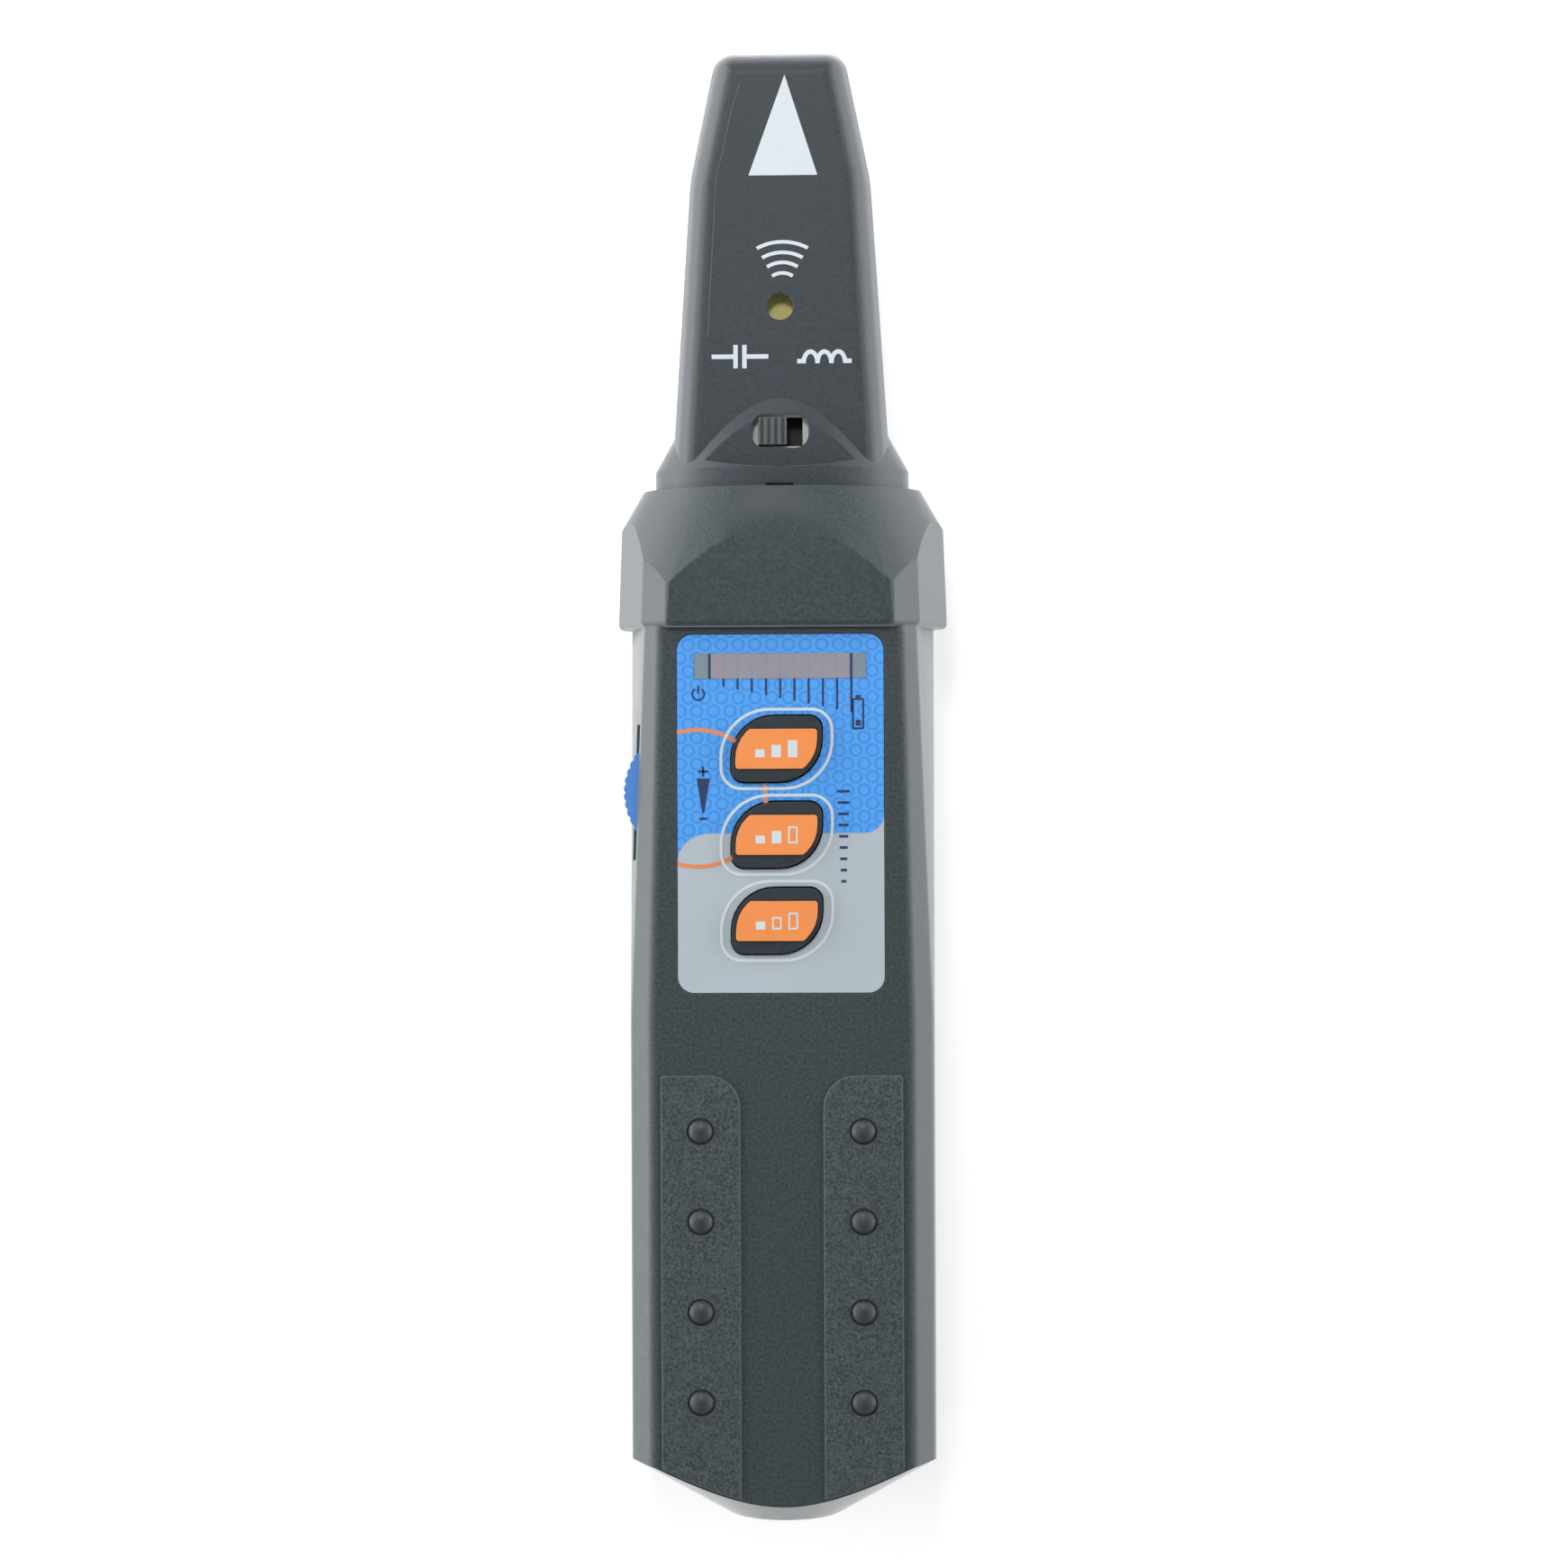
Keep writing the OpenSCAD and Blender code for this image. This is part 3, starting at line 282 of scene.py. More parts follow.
def moulded_plastic(
    name, colour, grain=0.4, mottle=0.12, depth=0.02, gloss=0.5, edge_highlight=0.35, edge=0.3, sheen=0.5
):
    """Spark-grained moulding: fine mottled pits, faint flow clouds, and edges painted lighter as a
    highlight.
    """
    finish = Finish(name, Sheen_Weight=sheen, Sheen_Roughness=0.35)
    clouds = finish.noise(22, detail=3)
    pits = finish.noise(grain)
    low = finish.blend(clouds, scaled(colour, 0.95 - mottle), scaled(colour, 1.05 - mottle))
    high = finish.blend(clouds, scaled(colour, 0.95 + mottle), scaled(colour, 1.05 + mottle))
    shade = finish.blend(finish.between(pits, 0.32, 0.68), low, high)
    # Painted highlight: the colour is lifted towards 2.4 times its own along the edges.
    highlit_edge = finish.reckon("MULTIPLY", finish.edges(), edge_highlight)
    finish.paint(finish.blend(highlit_edge, shade, scaled(colour, 2.4)))
    finish.polish(pits, gloss - 0.06, gloss + 0.08)
    finish.relief(pits, depth, edge)
    return finish.material


def glossy_plastic(name, colour, gloss=0.3, edge_highlight=0.3):
    """Smooth moulding with hardly any grain, such as keys and the wheel."""
    finish = Finish(name)
    shade = finish.blend(finish.noise(6, detail=3), scaled(colour, 0.94), scaled(colour, 1.06))
    # Painted highlight: the colour is lifted towards 1.5 times its own along the edges.
    highlit_edge = finish.reckon("MULTIPLY", finish.edges(), edge_highlight)
    finish.paint(finish.blend(highlit_edge, shade, scaled(colour, 1.5)))
    finish.polish(finish.noise(1.2), gloss - 0.05, gloss + 0.08)
    finish.relief(finish.noise(0.5), 0.003, edge=0.2)
    return finish.material


def printed_film(name, colour, gloss=0.42):
    """Ink on the label film: even colour with a faint tooth."""
    finish = Finish(name)
    finish.paint(finish.blend(finish.noise(9, detail=3), scaled(colour, 0.96), scaled(colour, 1.04)))
    finish.polish(finish.noise(0.8), gloss - 0.04, gloss + 0.06)
    finish.relief(finish.noise(0.3), 0.002)
    return finish.material


def ringed_film(name, colour, line, pitch=2.98, row=2.36, radius=1.0, width=0.42, blur=0.1):
    """Film printed with a faint lattice of rings in staggered rows."""
    finish = Finish(name)

    def off_middle(value, size):
        """Distance from the middle of a cell of this size in millimetres."""
        share = finish.reckon("FRACT", value)
        return finish.reckon("MULTIPLY", finish.reckon("SUBTRACT", share, 0.5), size)

    rows = finish.reckon("DIVIDE", finish.axis("Y"), row * MM)
    odd_row = finish.reckon("FLOORED_MODULO", finish.reckon("FLOOR", rows), 2.0)
    stagger = finish.reckon("MULTIPLY", odd_row, 0.5)
    columns = finish.reckon("ADD", finish.reckon("DIVIDE", finish.axis("X"), pitch * MM), stagger)
    dx, dy = off_middle(columns, pitch), off_middle(rows, row)
    square = finish.reckon("MULTIPLY_ADD", dx, dx, finish.reckon("MULTIPLY", dy, dy))
    reach = finish.reckon("SQRT", square)
    off_line = finish.reckon("ABSOLUTE", finish.reckon("SUBTRACT", reach, radius))
    ring = finish.between(off_line, width / 2 - blur, width / 2 + blur, 1.0, 0.0)
    shade = finish.blend(finish.noise(9, detail=3), scaled(colour, 0.97), scaled(colour, 1.03))
    finish.paint(finish.blend(ring, shade, line))
    finish.polish(finish.noise(0.8), 0.38, 0.48)
    finish.relief(finish.noise(0.3), 0.002)
    return finish.material


def display_film(name, segments=10, pitch=2.52, blur=0.05):
    """Frosted window over a row of segments, with a cooler cell at each end."""
    finish = Finish(name)
    half = segments * pitch / 2
    left_end, right_end = -half, half + blur
    across = finish.reckon("DIVIDE", finish.axis("X"), MM)
    left = finish.between(across, left_end - blur, left_end + blur, 1.0, 0.0)
    right = finish.between(across, right_end - blur, right_end + blur)
    ends = finish.reckon("ADD", left, right)
    along = finish.reckon("DIVIDE", finish.reckon("ADD", across, half), pitch)
    segment = finish.reckon("FRACT", along)
    off_middle = finish.reckon("ABSOLUTE", finish.reckon("SUBTRACT", segment, 0.5))
    seam = finish.between(off_middle, 0.44, 0.5, 0.0, 0.35)
    haze = finish.noise(2.5, detail=3)
    middle = finish.blend(haze, tone(152, 150, 160), tone(162, 159, 168))
    middle = finish.blend(seam, middle, tone(130, 126, 140))
    finish.paint(finish.blend(ends, middle, tone(133, 151, 160)))
    finish.polish(finish.noise(0.6), 0.2, 0.3)
    finish.relief(finish.noise(0.4), 0.002)
    return finish.material


def brushed_metal(name, colour, gloss=0.32, stretch=(1, 8, 1), metal=1.0):
    """Metal or foil with fine lines along one direction."""
    finish = Finish(name, Metallic=metal)
    lines = finish.noise(0.6, detail=3, stretch=stretch)
    finish.paint(finish.blend(lines, scaled(colour, 0.8), scaled(colour, 1.1)))
    finish.polish(lines, gloss - 0.08, gloss + 0.1)
    finish.relief(lines, 0.004)
    return finish.material


def soft_foam(name, colour, cell=0.7):
    """Foam with open cells of this size."""
    finish = Finish(name)
    links = {"Vector": finish.place, "Scale": 1 / (cell * MM)}
    cells = finish.add("ShaderNodeTexVoronoi", links).outputs[0]
    # Painted shade: colour darkens towards the middle of each cell, where the bump sinks.
    finish.paint(finish.blend(finish.between(cells, 0.1, 0.6), scaled(colour, 0.5), scaled(colour, 1.3)))
    finish.polish(cells, 0.85, 1.0, dark=0.0, bright=1.0)
    finish.relief(cells, 0.2)
    return finish.material


def wound_wire(name, colour, pitch=0.3):
    """Fine enamelled wire in close turns round an axis along Y."""
    finish = Finish(name, Metallic=1.0)
    angle = finish.reckon("MULTIPLY", finish.axis("Y"), 2 * math.pi / (pitch * MM))
    turns = finish.reckon("SINE", angle)
    # Painted shade in the valleys between turns, and a painted highlight on their crowns.
    finish.paint(finish.blend(finish.between(turns, -1, 1), scaled(colour, 0.5), scaled(colour, 1.15)))
    finish.polish(finish.noise(2), 0.28, 0.4)
    finish.relief(turns, 0.05)
    return finish.material


def circuit_board(name, colour, lane=6):
    """Lacquered board with paler copper lanes under the lacquer."""
    finish = Finish(name)
    links = {"Vector": finish.place, "Scale": 1 / (lane * MM)}
    lanes = finish.add("ShaderNodeTexBrick", links).outputs[1]
    shade = finish.blend(finish.noise(5, detail=3), scaled(colour, 0.85), scaled(colour, 1.1))
    finish.paint(finish.blend(finish.reckon("MULTIPLY", lanes, 0.5), shade, scaled(colour, 1.6)))
    finish.polish(finish.noise(1), 0.3, 0.42)
    finish.relief(lanes, 0.02)
    return finish.material


case_plastic = moulded_plastic("case_plastic", tone(55, 65, 68), grain=0.55, mottle=0.26)
nose_plastic = moulded_plastic("nose_plastic", tone(51, 59, 66), grain=0.5, mottle=0.2)
grip_plastic = moulded_plastic(
    "grip_plastic", tone(66, 75, 78), grain=0.36, mottle=0.55, depth=0.06, edge_highlight=0.7
)
# Lighter plastic for the line at the left of the nose: a painted highlight along an edge.
painted_crease_highlight = moulded_plastic("painted_crease_highlight", tone(84, 92, 99), edge_highlight=0.0, edge=0.0)
dot_plastic = glossy_plastic("dot_plastic", tone(52, 60, 64), gloss=0.42)
# Near-black for the groove round each dot: painted shade in the groove.
painted_groove_shade = glossy_plastic("painted_groove_shade", tone(24, 27, 29), gloss=0.5, edge_highlight=0.0)
key_plastic = glossy_plastic("key_plastic", tone(46, 54, 61), gloss=0.42)
key_orange = glossy_plastic("key_orange", tone(252, 152, 84), gloss=0.4)
wheel_blue = glossy_plastic("wheel_blue", tone(92, 150, 232), gloss=0.38)
black_plastic = glossy_plastic("black_plastic", tone(38, 40, 43), gloss=0.4)
knob_plastic = glossy_plastic("knob_plastic", tone(84, 93, 95), gloss=0.4)
white_plastic = glossy_plastic("white_plastic", tone(216, 212, 200), gloss=0.4)
indicator_plastic = glossy_plastic("indicator_plastic", tone(148, 147, 157), gloss=0.35)
label_grey = printed_film("label_grey", tone(184, 196, 204))
label_blue = ringed_film("label_blue", tone(84, 168, 250), tone(72, 146, 230))
ink_navy = printed_film("ink_navy", tone(44, 62, 104))
ink_white = printed_film("ink_white", tone(219, 228, 234))
ink_orange = printed_film("ink_orange", tone(236, 142, 96))
display_front = display_film("display_front")
frame_metal = brushed_metal("frame_metal", tone(246, 244, 238), gloss=0.6, metal=0.1)
steel = brushed_metal("steel", tone(150, 153, 156))
brass = brushed_metal("brass", tone(252, 236, 146), gloss=0.45, metal=0.1)
copper = wound_wire("copper", tone(186, 112, 62))
ferrite = moulded_plastic("ferrite", tone(58, 61, 64), grain=0.6, gloss=0.6)
board_green = circuit_board("board_green", tone(47, 107, 69))
cable_grey = glossy_plastic("cable_grey", tone(154, 160, 166), gloss=0.5)
cable_red = glossy_plastic("cable_red", tone(176, 48, 48), gloss=0.45)
battery_case = brushed_metal("battery_case", tone(120, 124, 128), gloss=0.35)
foam = soft_foam("foam", tone(42, 44, 46))

NODE_FINISHES = {
    "front_case": case_plastic, "rear_case": case_plastic, "battery_door": case_plastic,
    "nose_front": nose_plastic, "nose_rear": nose_plastic, "front_label": label_grey,
    "display_window": display_front, "indicator_bar": indicator_plastic,
    "power_indicator": indicator_plastic, "battery_indicator": indicator_plastic,
    "main_board": board_green, "sensor_board": board_green, "key_switches": black_plastic,
    "high_key": key_plastic, "middle_key": key_plastic, "low_key": key_plastic,
    "high_key_face": key_orange, "middle_key_face": key_orange, "low_key_face": key_orange,
    "high_plunger": white_plastic, "middle_plunger": white_plastic, "low_plunger": white_plastic,
    "thumbwheel": wheel_blue, "pot_body": black_plastic, "pot_shaft": white_plastic,
    "slide_switch_body": black_plastic, "slide_switch_frame": frame_metal,
    "slide_switch_knob": knob_plastic, "sounder_disc": brass, "sounder_ceramic": white_plastic,
    "ferrite_rod": ferrite, "coil_bobbin": white_plastic, "pickup_coil": copper,
    "pickup_plate": brass, "ribbon_cable": cable_grey, "battery": battery_case,
    "battery_terminals": steel, "battery_clip": black_plastic, "red_lead": cable_red,
    "black_lead": black_plastic, "battery_foam": foam, "case_screws": steel,
    "nose_screws": steel, "board_screws": steel,
}

# Making

MERGE_SHELL, MERGE_PRINT = 0.002, 0.0005
FLAT_ANGLE, CORNER_ANGLE = 0.3, 40
RIB_EASE, RIB_ROUNDS = 0.5, 40


def only(piece):
    """Leaves this piece alone selected and active."""
    bpy.ops.object.select_all(action="DESELECT")
    piece.select_set(True)
    bpy.context.view_layer.objects.active = piece


def finish_piece(piece, material, body):
    """Gives a piece its finish, the body it moves with and its place in the list of materials."""
    piece.data.materials.clear()
    piece.data.materials.append(material)
    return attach(piece, body)


def upright(mesh, edge):
    """Whether an edge stands along Z, and isn't a short one."""
    a, b = (mesh.vertices[i].co for i in edge.vertices)
    return math.hypot(a.x - b.x, a.y - b.y) < 0.01 * MM and abs(a.z - b.z) > 0.3 * MM


def round_corners(shell, radius):
    """Rounds the upright corners of a shell that is in edit mode, to a radius in millimetres."""
    bpy.ops.mesh.select_all(action="DESELECT")
    bpy.ops.mesh.edges_select_sharp(sharpness=math.radians(CORNER_ANGLE))
    bpy.ops.object.mode_set(mode="OBJECT")
    mesh = shell.data
    chosen = [edge.index for edge in mesh.edges if edge.select and upright(mesh, edge)]
    for part in (mesh.vertices, mesh.edges, mesh.polygons):
        part.foreach_set("select", [False] * len(part))
    for index in chosen:
        mesh.edges[index].select = True
    bpy.ops.object.mode_set(mode="EDIT")
    bpy.ops.mesh.bevel(offset=radius * MM, segments=5, affect="EDGES")


def ease_rim(disc, width):
    """Makes the ribs round an upright disc shallow, in a rim of this width in millimetres."""
    spots = [v.co for v in disc.data.vertices]
    x = (min(s.x for s in spots) + max(s.x for s in spots)) / 2
    y = (min(s.y for s in spots) + max(s.y for s in spots)) / 2
    reaches = [math.hypot(s.x - x, s.y - y) for s in spots]
    rim_start = max(reaches) - width * MM
    group = disc.vertex_groups.new(name="rim")
    group.add([i for i, reach in enumerate(reaches) if reach > rim_start], 1.0, "REPLACE")
    level = disc.modifiers.new("eased_ribs", "SMOOTH")
    level.factor, level.iterations, level.use_z = RIB_EASE, RIB_ROUNDS, False
    level.vertex_group = group.name
    bpy.ops.object.modifier_apply(modifier=level.name)


def dressed(node, name, smooth=14, corner=0.0, rim=0.0):
    """Stands in for a CAD node: its shape merged into clean faces, smooth where they turn little.

    smooth is the largest smooth turn in degrees. A corner radius rounds the upright corners, and
    ribs are eased in a rim of this width, both in millimetres.
    """
    source = frame["nodes"][node]
    shell = bpy.data.objects.new(name, source.data.copy())
    bpy.context.scene.collection.objects.link(shell)
    only(shell)
    bpy.ops.mesh.customdata_custom_splitnormals_clear()
    bpy.ops.object.mode_set(mode="EDIT")
    bpy.ops.mesh.select_mode(type="EDGE")
    bpy.ops.mesh.select_all(action="SELECT")
    bpy.ops.mesh.remove_doubles(threshold=MERGE_SHELL * MM)
    bpy.ops.mesh.dissolve_limited(angle_limit=math.radians(FLAT_ANGLE))
    if corner:
        round_corners(shell, corner)
    bpy.ops.object.mode_set(mode="OBJECT")
    if rim:
        ease_rim(shell, rim)
    bpy.ops.object.shade_smooth_by_angle(angle=math.radians(smooth))
    level = shell.modifiers.new("even_shading", "WEIGHTED_NORMAL")
    level.keep_sharp = True
    bpy.ops.object.modifier_apply(modifier=level.name)
    finish_piece(shell, NODE_FINISHES[node], source["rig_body"])
    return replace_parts(shell, node)


def grip_faces(shell):
    """Gives the raised strips and their dots finishes of their own, and the groove round each dot a
    near-black finish as painted shade.
    """
    strip, dot, shaded_groove = 1, 2, 3
    for material in (grip_plastic, dot_plastic, painted_groove_shade):
        shell.data.materials.append(material)
    dot_ys = [DOT_Y0 + DOT_PITCH * i for i in range(DOT_COUNT)]
    dot_end = DOT_R - 0.2
    groove_end = DOT_R + DOT_GROOVE + 0.02
    strip_start = STRIP_IN - 0.1
    strip_top = LABEL_TOP + 0.01
    for face in shell.data.polygons:
        x, y, z = (v / MM for v in face.center)
        if z < STRIP_FLOOR or y > STRIP_Y1:
            continue
        reach = min(math.hypot(abs(x) - DOT_X, y - dot_y) for dot_y in dot_ys)
        if reach < dot_end:
            face.material_index = dot
        # The groove faces take the near-black finish, painted shade.
        elif reach < groove_end:
            face.material_index = shaded_groove
        elif abs(x) > strip_start and z > strip_top:
            face.material_index = strip


def printed(name, outlines, top, material, body="housing"):
    """Thin printed mark on a face at this height. An outline inside the first is left open."""
    drawing = bpy.data.curves.new(name, "CURVE")
    drawing.dimensions = "2D"
    drawing.fill_mode = "BOTH"
    drawing.extrude = INK / 2
    for points in outlines:
        line = drawing.splines.new("POLY")
        line.points.add(len(points) - 1)
        for spot, (x, y) in zip(line.points, points):
            spot.co = (x, y, 0, 1)
        line.use_cyclic_u = True
    mark = bpy.data.objects.new(name, drawing)
    bpy.context.scene.collection.objects.link(mark)
    mark.scale = (MM, MM, MM)
    mark.location.z = top * MM
    only(mark)
    bpy.ops.object.convert(target="MESH")
    mark = bpy.context.object
    bpy.ops.object.transform_apply(location=True, rotation=True, scale=True)
    bpy.ops.object.mode_set(mode="EDIT")
    bpy.ops.mesh.select_all(action="SELECT")
    bpy.ops.mesh.remove_doubles(threshold=MERGE_PRINT * MM)
    bpy.ops.mesh.normals_make_consistent(inside=False)
    bpy.ops.object.mode_set(mode="OBJECT")
    return finish_piece(mark, material, body)


# Prints on the label


def blue_field():
    """Blue upper part of the label, whose lower edge bends down at the left and up at the right."""
    edge_y, right_r, steps = -8.8, 3.4, 12
    left_y, left_reach = -13.6, 6.0
    left, right = -LABEL_HALF, LABEL_HALF
    corners = [(left, LABEL_Y1), (right, LABEL_Y1), (right, edge_y), (left, edge_y)]
    upper = rounded(corners, [LABEL_R, LABEL_R, right_r, 0], steps)[:-1]
    over_key = [p for p in key_hole(KEYS["middle"]) if p[1] > edge_y]
    over_key = [(over_key[0][0], edge_y)] + over_key + [(over_key[-1][0], edge_y)]
    bend = []
    for k in range(steps, -1, -1):
        a = math.radians(90 * k / steps)
        x = left + left_reach * (1 - math.cos(a))
        bend.append((x, left_y + (edge_y - left_y) * math.sin(a)))
    window = box(-DISPLAY_W / 2, DISPLAY_Y0, DISPLAY_W / 2, DISPLAY_Y1 - DISPLAY_RIM)
    outlines = [upper + over_key + bend, window, key_hole(KEYS["high"])]
    printed("label_blue_field", outlines, LABEL_TOP, label_blue)


def wheel_lines():
    """Parts of one circle that leads from the wheel past the keys."""
    x, y, r, width = -14.8, -2.55, 12.18, 0.72
    for name, start, end in (("upper", 107.2, 54.0), ("middle", 12.4, -5.0), ("lower", -59.5, -107.2)):
        band = arc_band(x, y, r, start, end, width)
        printed(f"wheel_line_{name}", [band], LABEL_TOP + OVERPRINT, ink_orange)


def key_rings():
    """White line round each key."""
    width, length, small, big, line = 20.3, 14.6, 3.9, 8.9, 0.5
    for name, y in KEYS.items():
        outer = leaf(KEY_X, y, width, length, small, big)
        inner = leaf(KEY_X, y, width - 2 * line, length - 2 * line, small - line, big - line)
        printed(f"{name}_key_ring", [outer, inner], LABEL_TOP + 2 * OVERPRINT, ink_white)


def display_marks():
    """Ticks that grow longer along the display, and a line at each end of its segments."""
    first_x, pitch, half, shortest, growth = -10.1, 2.53, 0.2, 1.4, 0.51
    for i in range(10):
        x = first_x + pitch * i
        tick = box(x - half, DISPLAY_Y0 - shortest - growth * i, x + half, DISPLAY_Y0)
        printed(f"level_tick_{i + 1}", [tick], LABEL_TOP + OVERPRINT, ink_navy)
    line_half, inset = 0.22, 0.05
    for name, x in (("left", -12.6), ("right", 12.65)):
        low, high = DISPLAY_Y0 + inset, DISPLAY_Y1 - DISPLAY_RIM - inset
        bar = box(x - line_half, low, x + line_half, high)
        printed(f"display_line_{name}", [bar], LABEL_TOP, ink_navy)


def label_signs():
    """Generic signs: power, battery level, a fine-setting wedge and a graded ladder."""
    cell = rounded(box(12.75, 9.6, 14.95, 15.2), (0.3, 0.3, 0.3, 0.3), steps=4)
    room = box(13.13, 9.98, 14.57, 14.82)
    signs = {
        "power_sign_ring": [arc_band(-14.6, 16.0, 1.05, 125, 415, 0.36)],
        "power_sign_bar": [box(-14.78, 16.1, -14.42, 17.6)],
        "battery_sign_case": [cell, room],
        "battery_sign_tip": [box(13.4, 15.2, 14.3, 15.75)],
        "battery_sign_level": [box(13.4, 10.25, 14.3, 11.3)],
        "fine_sign_wedge": [[(-13.95, -5.2), (-13.6, -5.2), (-12.6, 1.0), (-14.95, 1.0)]],
        "fine_sign_plus_bar": [box(-14.7, 2.0, -12.9, 2.42)],
        "fine_sign_plus_stem": [box(-14.01, 1.3, -13.59, 3.1)],
        "fine_sign_minus": [box(-14.5, -6.4, -13.1, -5.98)],
    }
    ladder_x, ladder_y, pitch, half, shortest, growth = 11.2, -17.4, 2.0, 0.24, 0.45, 0.085
    for i in range(9):
        reach = shortest + growth * i
        y = ladder_y + pitch * i
        signs[f"level_rung_{i + 1}"] = [box(ladder_x - reach, y - half, ladder_x + reach, y + half)]
    for name, outlines in signs.items():
        printed(name, outlines, LABEL_TOP + OVERPRINT, ink_navy)


def key_signs():
    """One, two or three filled bars out of three on each key."""
    pitch, half, line, foot, shortest, growth = 2.9, 0.85, 0.3, 1.5, 1.4, 0.8
    for name, filled in (("low", 1), ("middle", 2), ("high", 3)):
        y0 = KEYS[name] - foot
        for i in range(3):
            x = KEY_X + pitch * (i - 1)
            y1 = y0 + shortest + growth * i
            bar = [box(x - half, y0, x + half, y1)]
            if i >= filled:
                bar.append(box(x - half + line, y0 + line, x + half - line, y1 - line))
            printed(f"{name}_key_bar_{i + 1}", bar, KEY_FACE_TOP, ink_white, f"{name}_key_body")


# Prints on the nose


def sound_waves():
    """Four arcs over the sound hole, each given by its chord, its rise and its highest point."""
    x, width = 0.5, 0.64
    waves = ((9.2, 1.15, 97.5), (7.3, 0.95, 95.6), (5.5, 0.8, 93.8), (3.7, 0.57, 91.9))
    for i, (chord, rise, apex) in enumerate(waves):
        r = (chord * chord / 4 + rise * rise) / (2 * rise)
        half = math.degrees(math.asin(chord / 2 / r))
        wave = arc_band(x, apex - r, r, 90 + half, 90 - half, width)
        printed(f"sound_wave_{len(waves) - i}", [wave], NOSE_TOP, ink_white)


def sensing_signs():
    """Signs of a capacitor and a coil, for the two ways of sensing."""
    y, half, plate = 76.9, 0.4, 2.1
    for name, x0, x1, rise in (
        ("lead_in", -12.3, -8.4, half), ("plate_in", -8.4, -7.6, plate),
        ("plate_out", -6.8, -6.0, plate), ("lead_out", -6.0, -2.1, half),
    ):
        printed(f"field_sign_{name}", [box(x0, y - rise, x1, y + rise)], NOSE_TOP, ink_white)
    winding = coil(3.1, 12.9, y - 1.3, humps=3, reach=1.25, rise=2.1, width=2 * half)
    printed("coil_sign", [winding], NOSE_TOP, ink_white)


def nose_prints():
    """Pointer, sound waves, sensing signs, and a faint painted highlight line along the left edge."""
    printed("pointer", [[(-5.55, 109.5), (6.85, 109.5), (1.0, 127.6)]], NOSE_TOP, ink_white)
    sound_waves()
    sensing_signs()
    # The crease line is a painted highlight: a thin lighter strip along the left edge of the nose.
    half = 0.1
    highlight_path = [
        (-7.06, 126.1), (-8.55, 121.6), (-10.26, 113.65), (-11.06, 110.7), (-11.6, 106.9),
        (-11.86, 100.6), (-12.7, 86.9), (-12.9, 80.5),
    ]
    strip = [(x - half, y) for x, y in highlight_path] + [(x + half, y) for x, y in highlight_path[::-1]]
    printed("nose_highlight_line", [strip], NOSE_TOP, painted_crease_highlight)


# Stage

FLOOR_SEEN, FLOOR_MIRRORED = 0.44, 1.9
SKY_LOW, SKY_TOP, SKY_ENDS, SKY_SEEN = 2.7, 0.0, 0.1, 1.0


def floor():
    """White paper under the part, which glows to the camera and in reflections."""
    bpy.ops.object.select_all(action="DESELECT")
    bpy.ops.mesh.primitive_plane_add(size=4.0, location=(0, 0, -0.0001))
    ground = bpy.context.object
    ground.name = "floor"
    white, pale = (1, 1, 1, 1), (0.86, 0.86, 0.86, 1)
    paper = Finish("paper_white", Base_Color=pale, Roughness=0.9, Emission_Color=white)
    path = paper.add("ShaderNodeLightPath").outputs
    glow = paper.reckon("MULTIPLY", path["Is Camera Ray"], FLOOR_SEEN)
    glow = paper.reckon("MULTIPLY_ADD", path["Is Glossy Ray"], FLOOR_MIRRORED, glow)
    glow = paper.reckon("MULTIPLY_ADD", path["Is Transmission Ray"], FLOOR_SEEN, glow)
    paper.feed(paper.shader.inputs["Emission Strength"], glow)
    ground.data.materials.append(paper.material)


def lamp(name, place, aim, size, watts):
    """Soft box light at a place, turned to a point."""
    bpy.ops.object.select_all(action="DESELECT")
    bpy.ops.object.light_add(type="AREA", location=place)
    light = bpy.context.object
    light.name = name
    light.data.shape = "RECTANGLE"
    light.data.size, light.data.size_y = size
    light.data.energy = watts
    toward = [b - a for a, b in zip(place, aim)]
    tilt = math.atan2(math.hypot(toward[0], toward[1]), -toward[2])
    turn = math.atan2(toward[0], -toward[1]) + math.pi
    light.rotation_euler = (tilt, 0, turn)


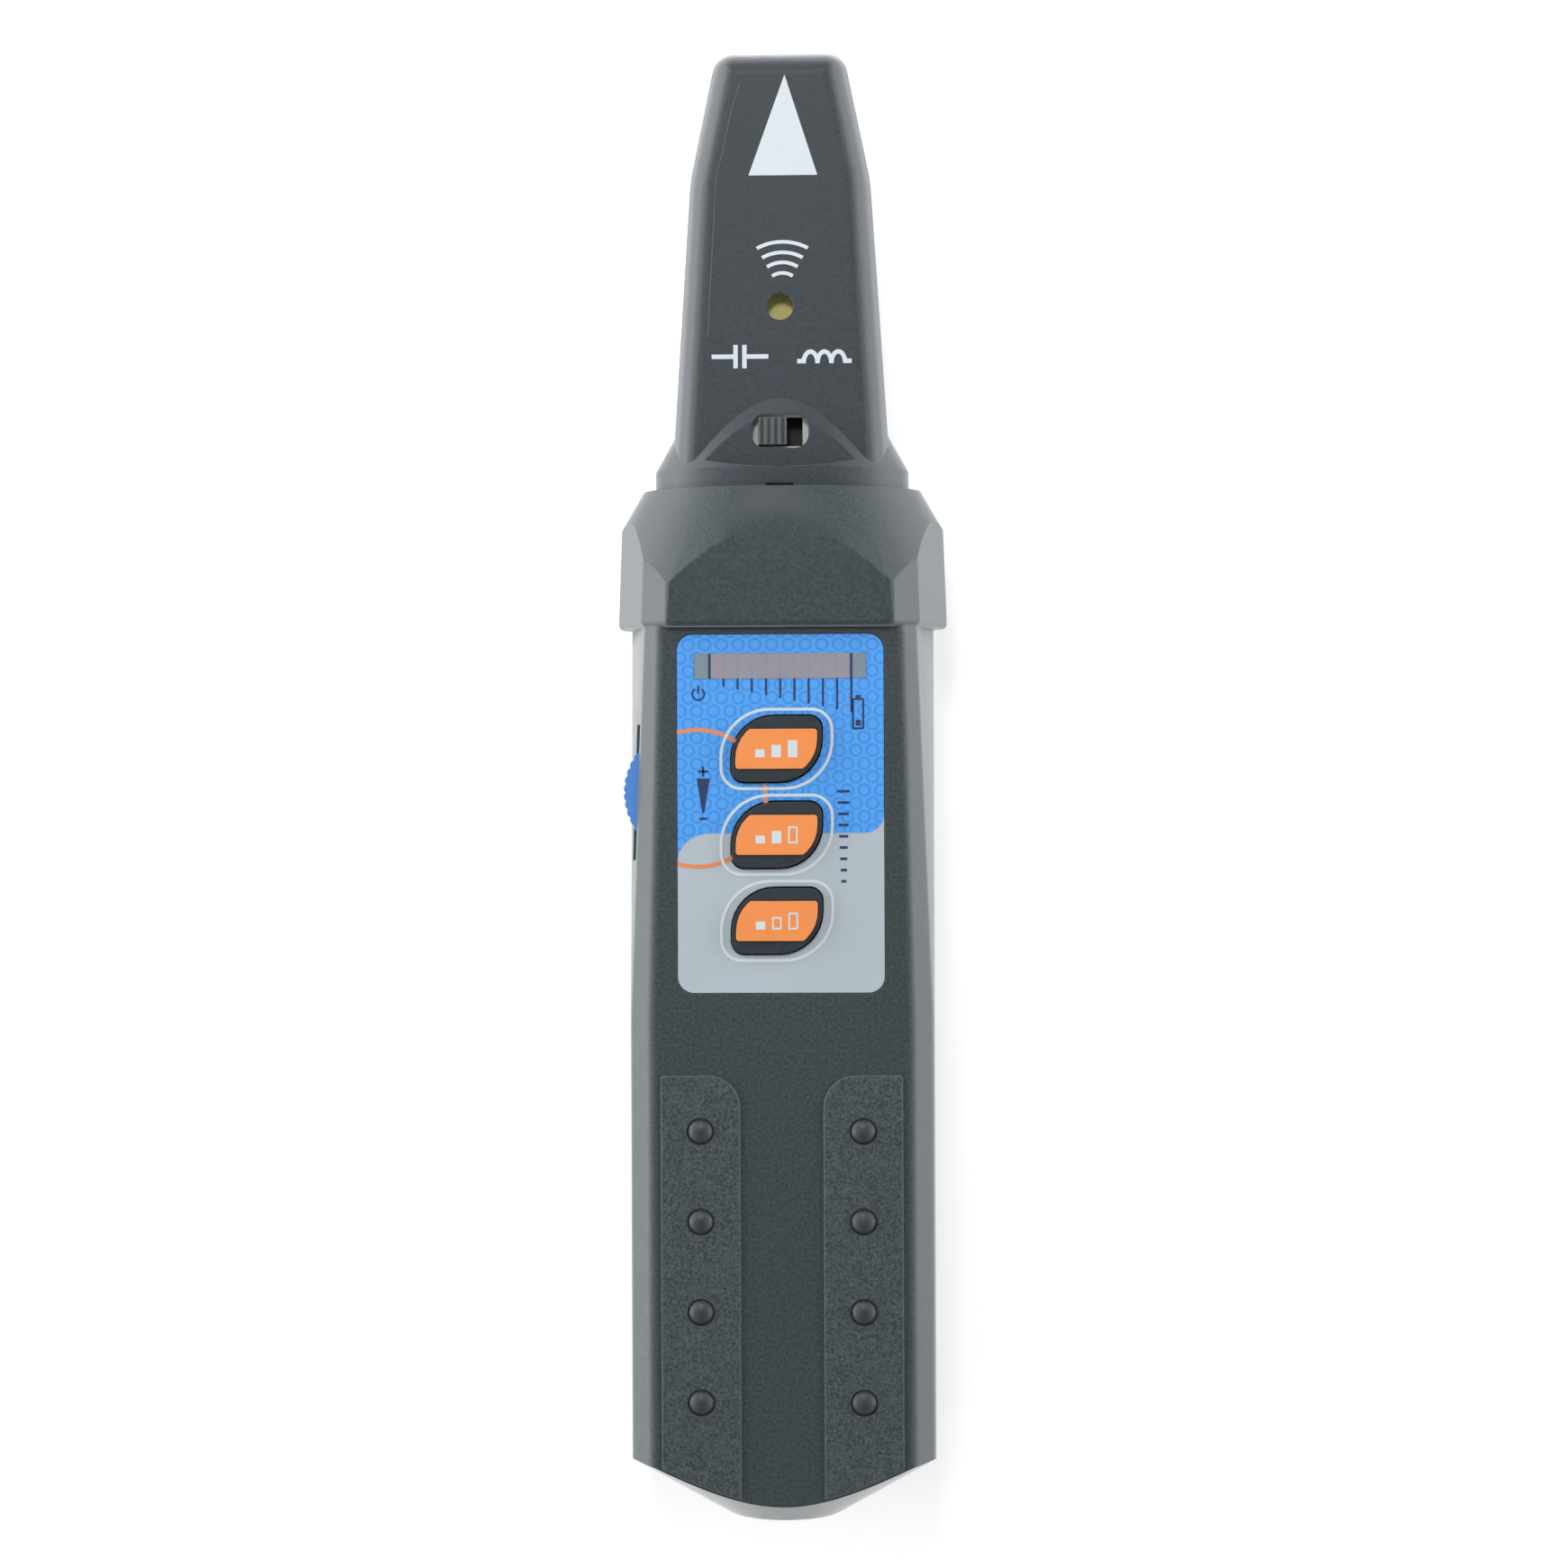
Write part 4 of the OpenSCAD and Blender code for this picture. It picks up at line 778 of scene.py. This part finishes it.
def sky():
    """White tent, bright low at both sides, dark overhead and at nose and tail. It looks white."""
    world = bpy.data.worlds.new("tent")
    bpy.context.scene.world = world
    world.use_nodes = True
    tent = Wiring(world.node_tree)
    toward = tent.add("ShaderNodeTexCoord").outputs["Generated"]
    split = tent.add("ShaderNodeSeparateXYZ", {0: toward}).outputs
    height = tent.between(split["Z"], 0.0, 1.0, SKY_LOW, SKY_TOP)
    ends = tent.between(tent.reckon("ABSOLUTE", split["Y"]), 0.0, 1.0, 1.0, SKY_ENDS)
    light = tent.reckon("MULTIPLY", height, ends)
    seen = tent.add("ShaderNodeLightPath").outputs["Is Camera Ray"]
    shader = tent.tree.nodes["Background"]
    shader.inputs["Color"].default_value = (1, 1, 1, 1)
    tent.feed(shader.inputs["Strength"], tent.between(seen, 0.0, 1.0, light, SKY_SEEN))


def lighting():
    """White tent with a low panel at each side, and one lamp high over the nose."""
    sky()
    aim, size = (0, 0.03, 0.02), (0.9, 0.22)
    lamp("left_panel", place=(-0.53, 0.14, 0.12), aim=aim, size=size, watts=4.2)
    lamp("right_panel", place=(0.53, 0.14, 0.12), aim=aim, size=size, watts=2.9)
    lamp("front_lamp", place=(-0.08, 0.5, 0.82), aim=(0, 0, 0.03), size=(0.2, 0.2), watts=2.35)


def camera():
    """Straight over the front, a little to the right, through a long lens."""
    height, side, along, aim_x, aim_z = 0.62, 0.0189, -0.00013, 0.00012, 0.0165
    turn = math.radians(-0.233)
    bpy.ops.object.select_all(action="DESELECT")
    bpy.ops.object.camera_add(location=(side, along, height + aim_z))
    eye = bpy.context.object
    eye.rotation_euler = (0, math.atan2(side - aim_x, height), turn)
    eye.data.lens = 77.9
    eye.data.sensor_width = 36.0
    eye.data.clip_end = 10.0
    bpy.context.scene.camera = eye


# Assembly

camera()
floor()
lighting()
bpy.context.scene.view_settings.view_transform = "Standard"

for node, material in NODE_FINISHES.items():
    mesh = frame["nodes"][node].data
    mesh.materials.clear()
    mesh.materials.append(material)

front_shell = dressed("front_case", "front_shell", smooth=24)
grip_faces(front_shell)
dressed("rear_case", "rear_shell")
dressed("battery_door", "door_shell")
dressed("nose_front", "nose_front_shell")
dressed("nose_rear", "nose_rear_shell")
dressed("thumbwheel", "wheel_shell", rim=1.2)
dressed("slide_switch_knob", "knob_shell")
for level in KEYS:
    dressed(f"{level}_key", f"{level}_key_shell")
    dressed(f"{level}_key_face", f"{level}_key_cover", corner=0.5)
blue_field()
wheel_lines()
key_rings()
display_marks()
label_signs()
key_signs()
nose_prints()
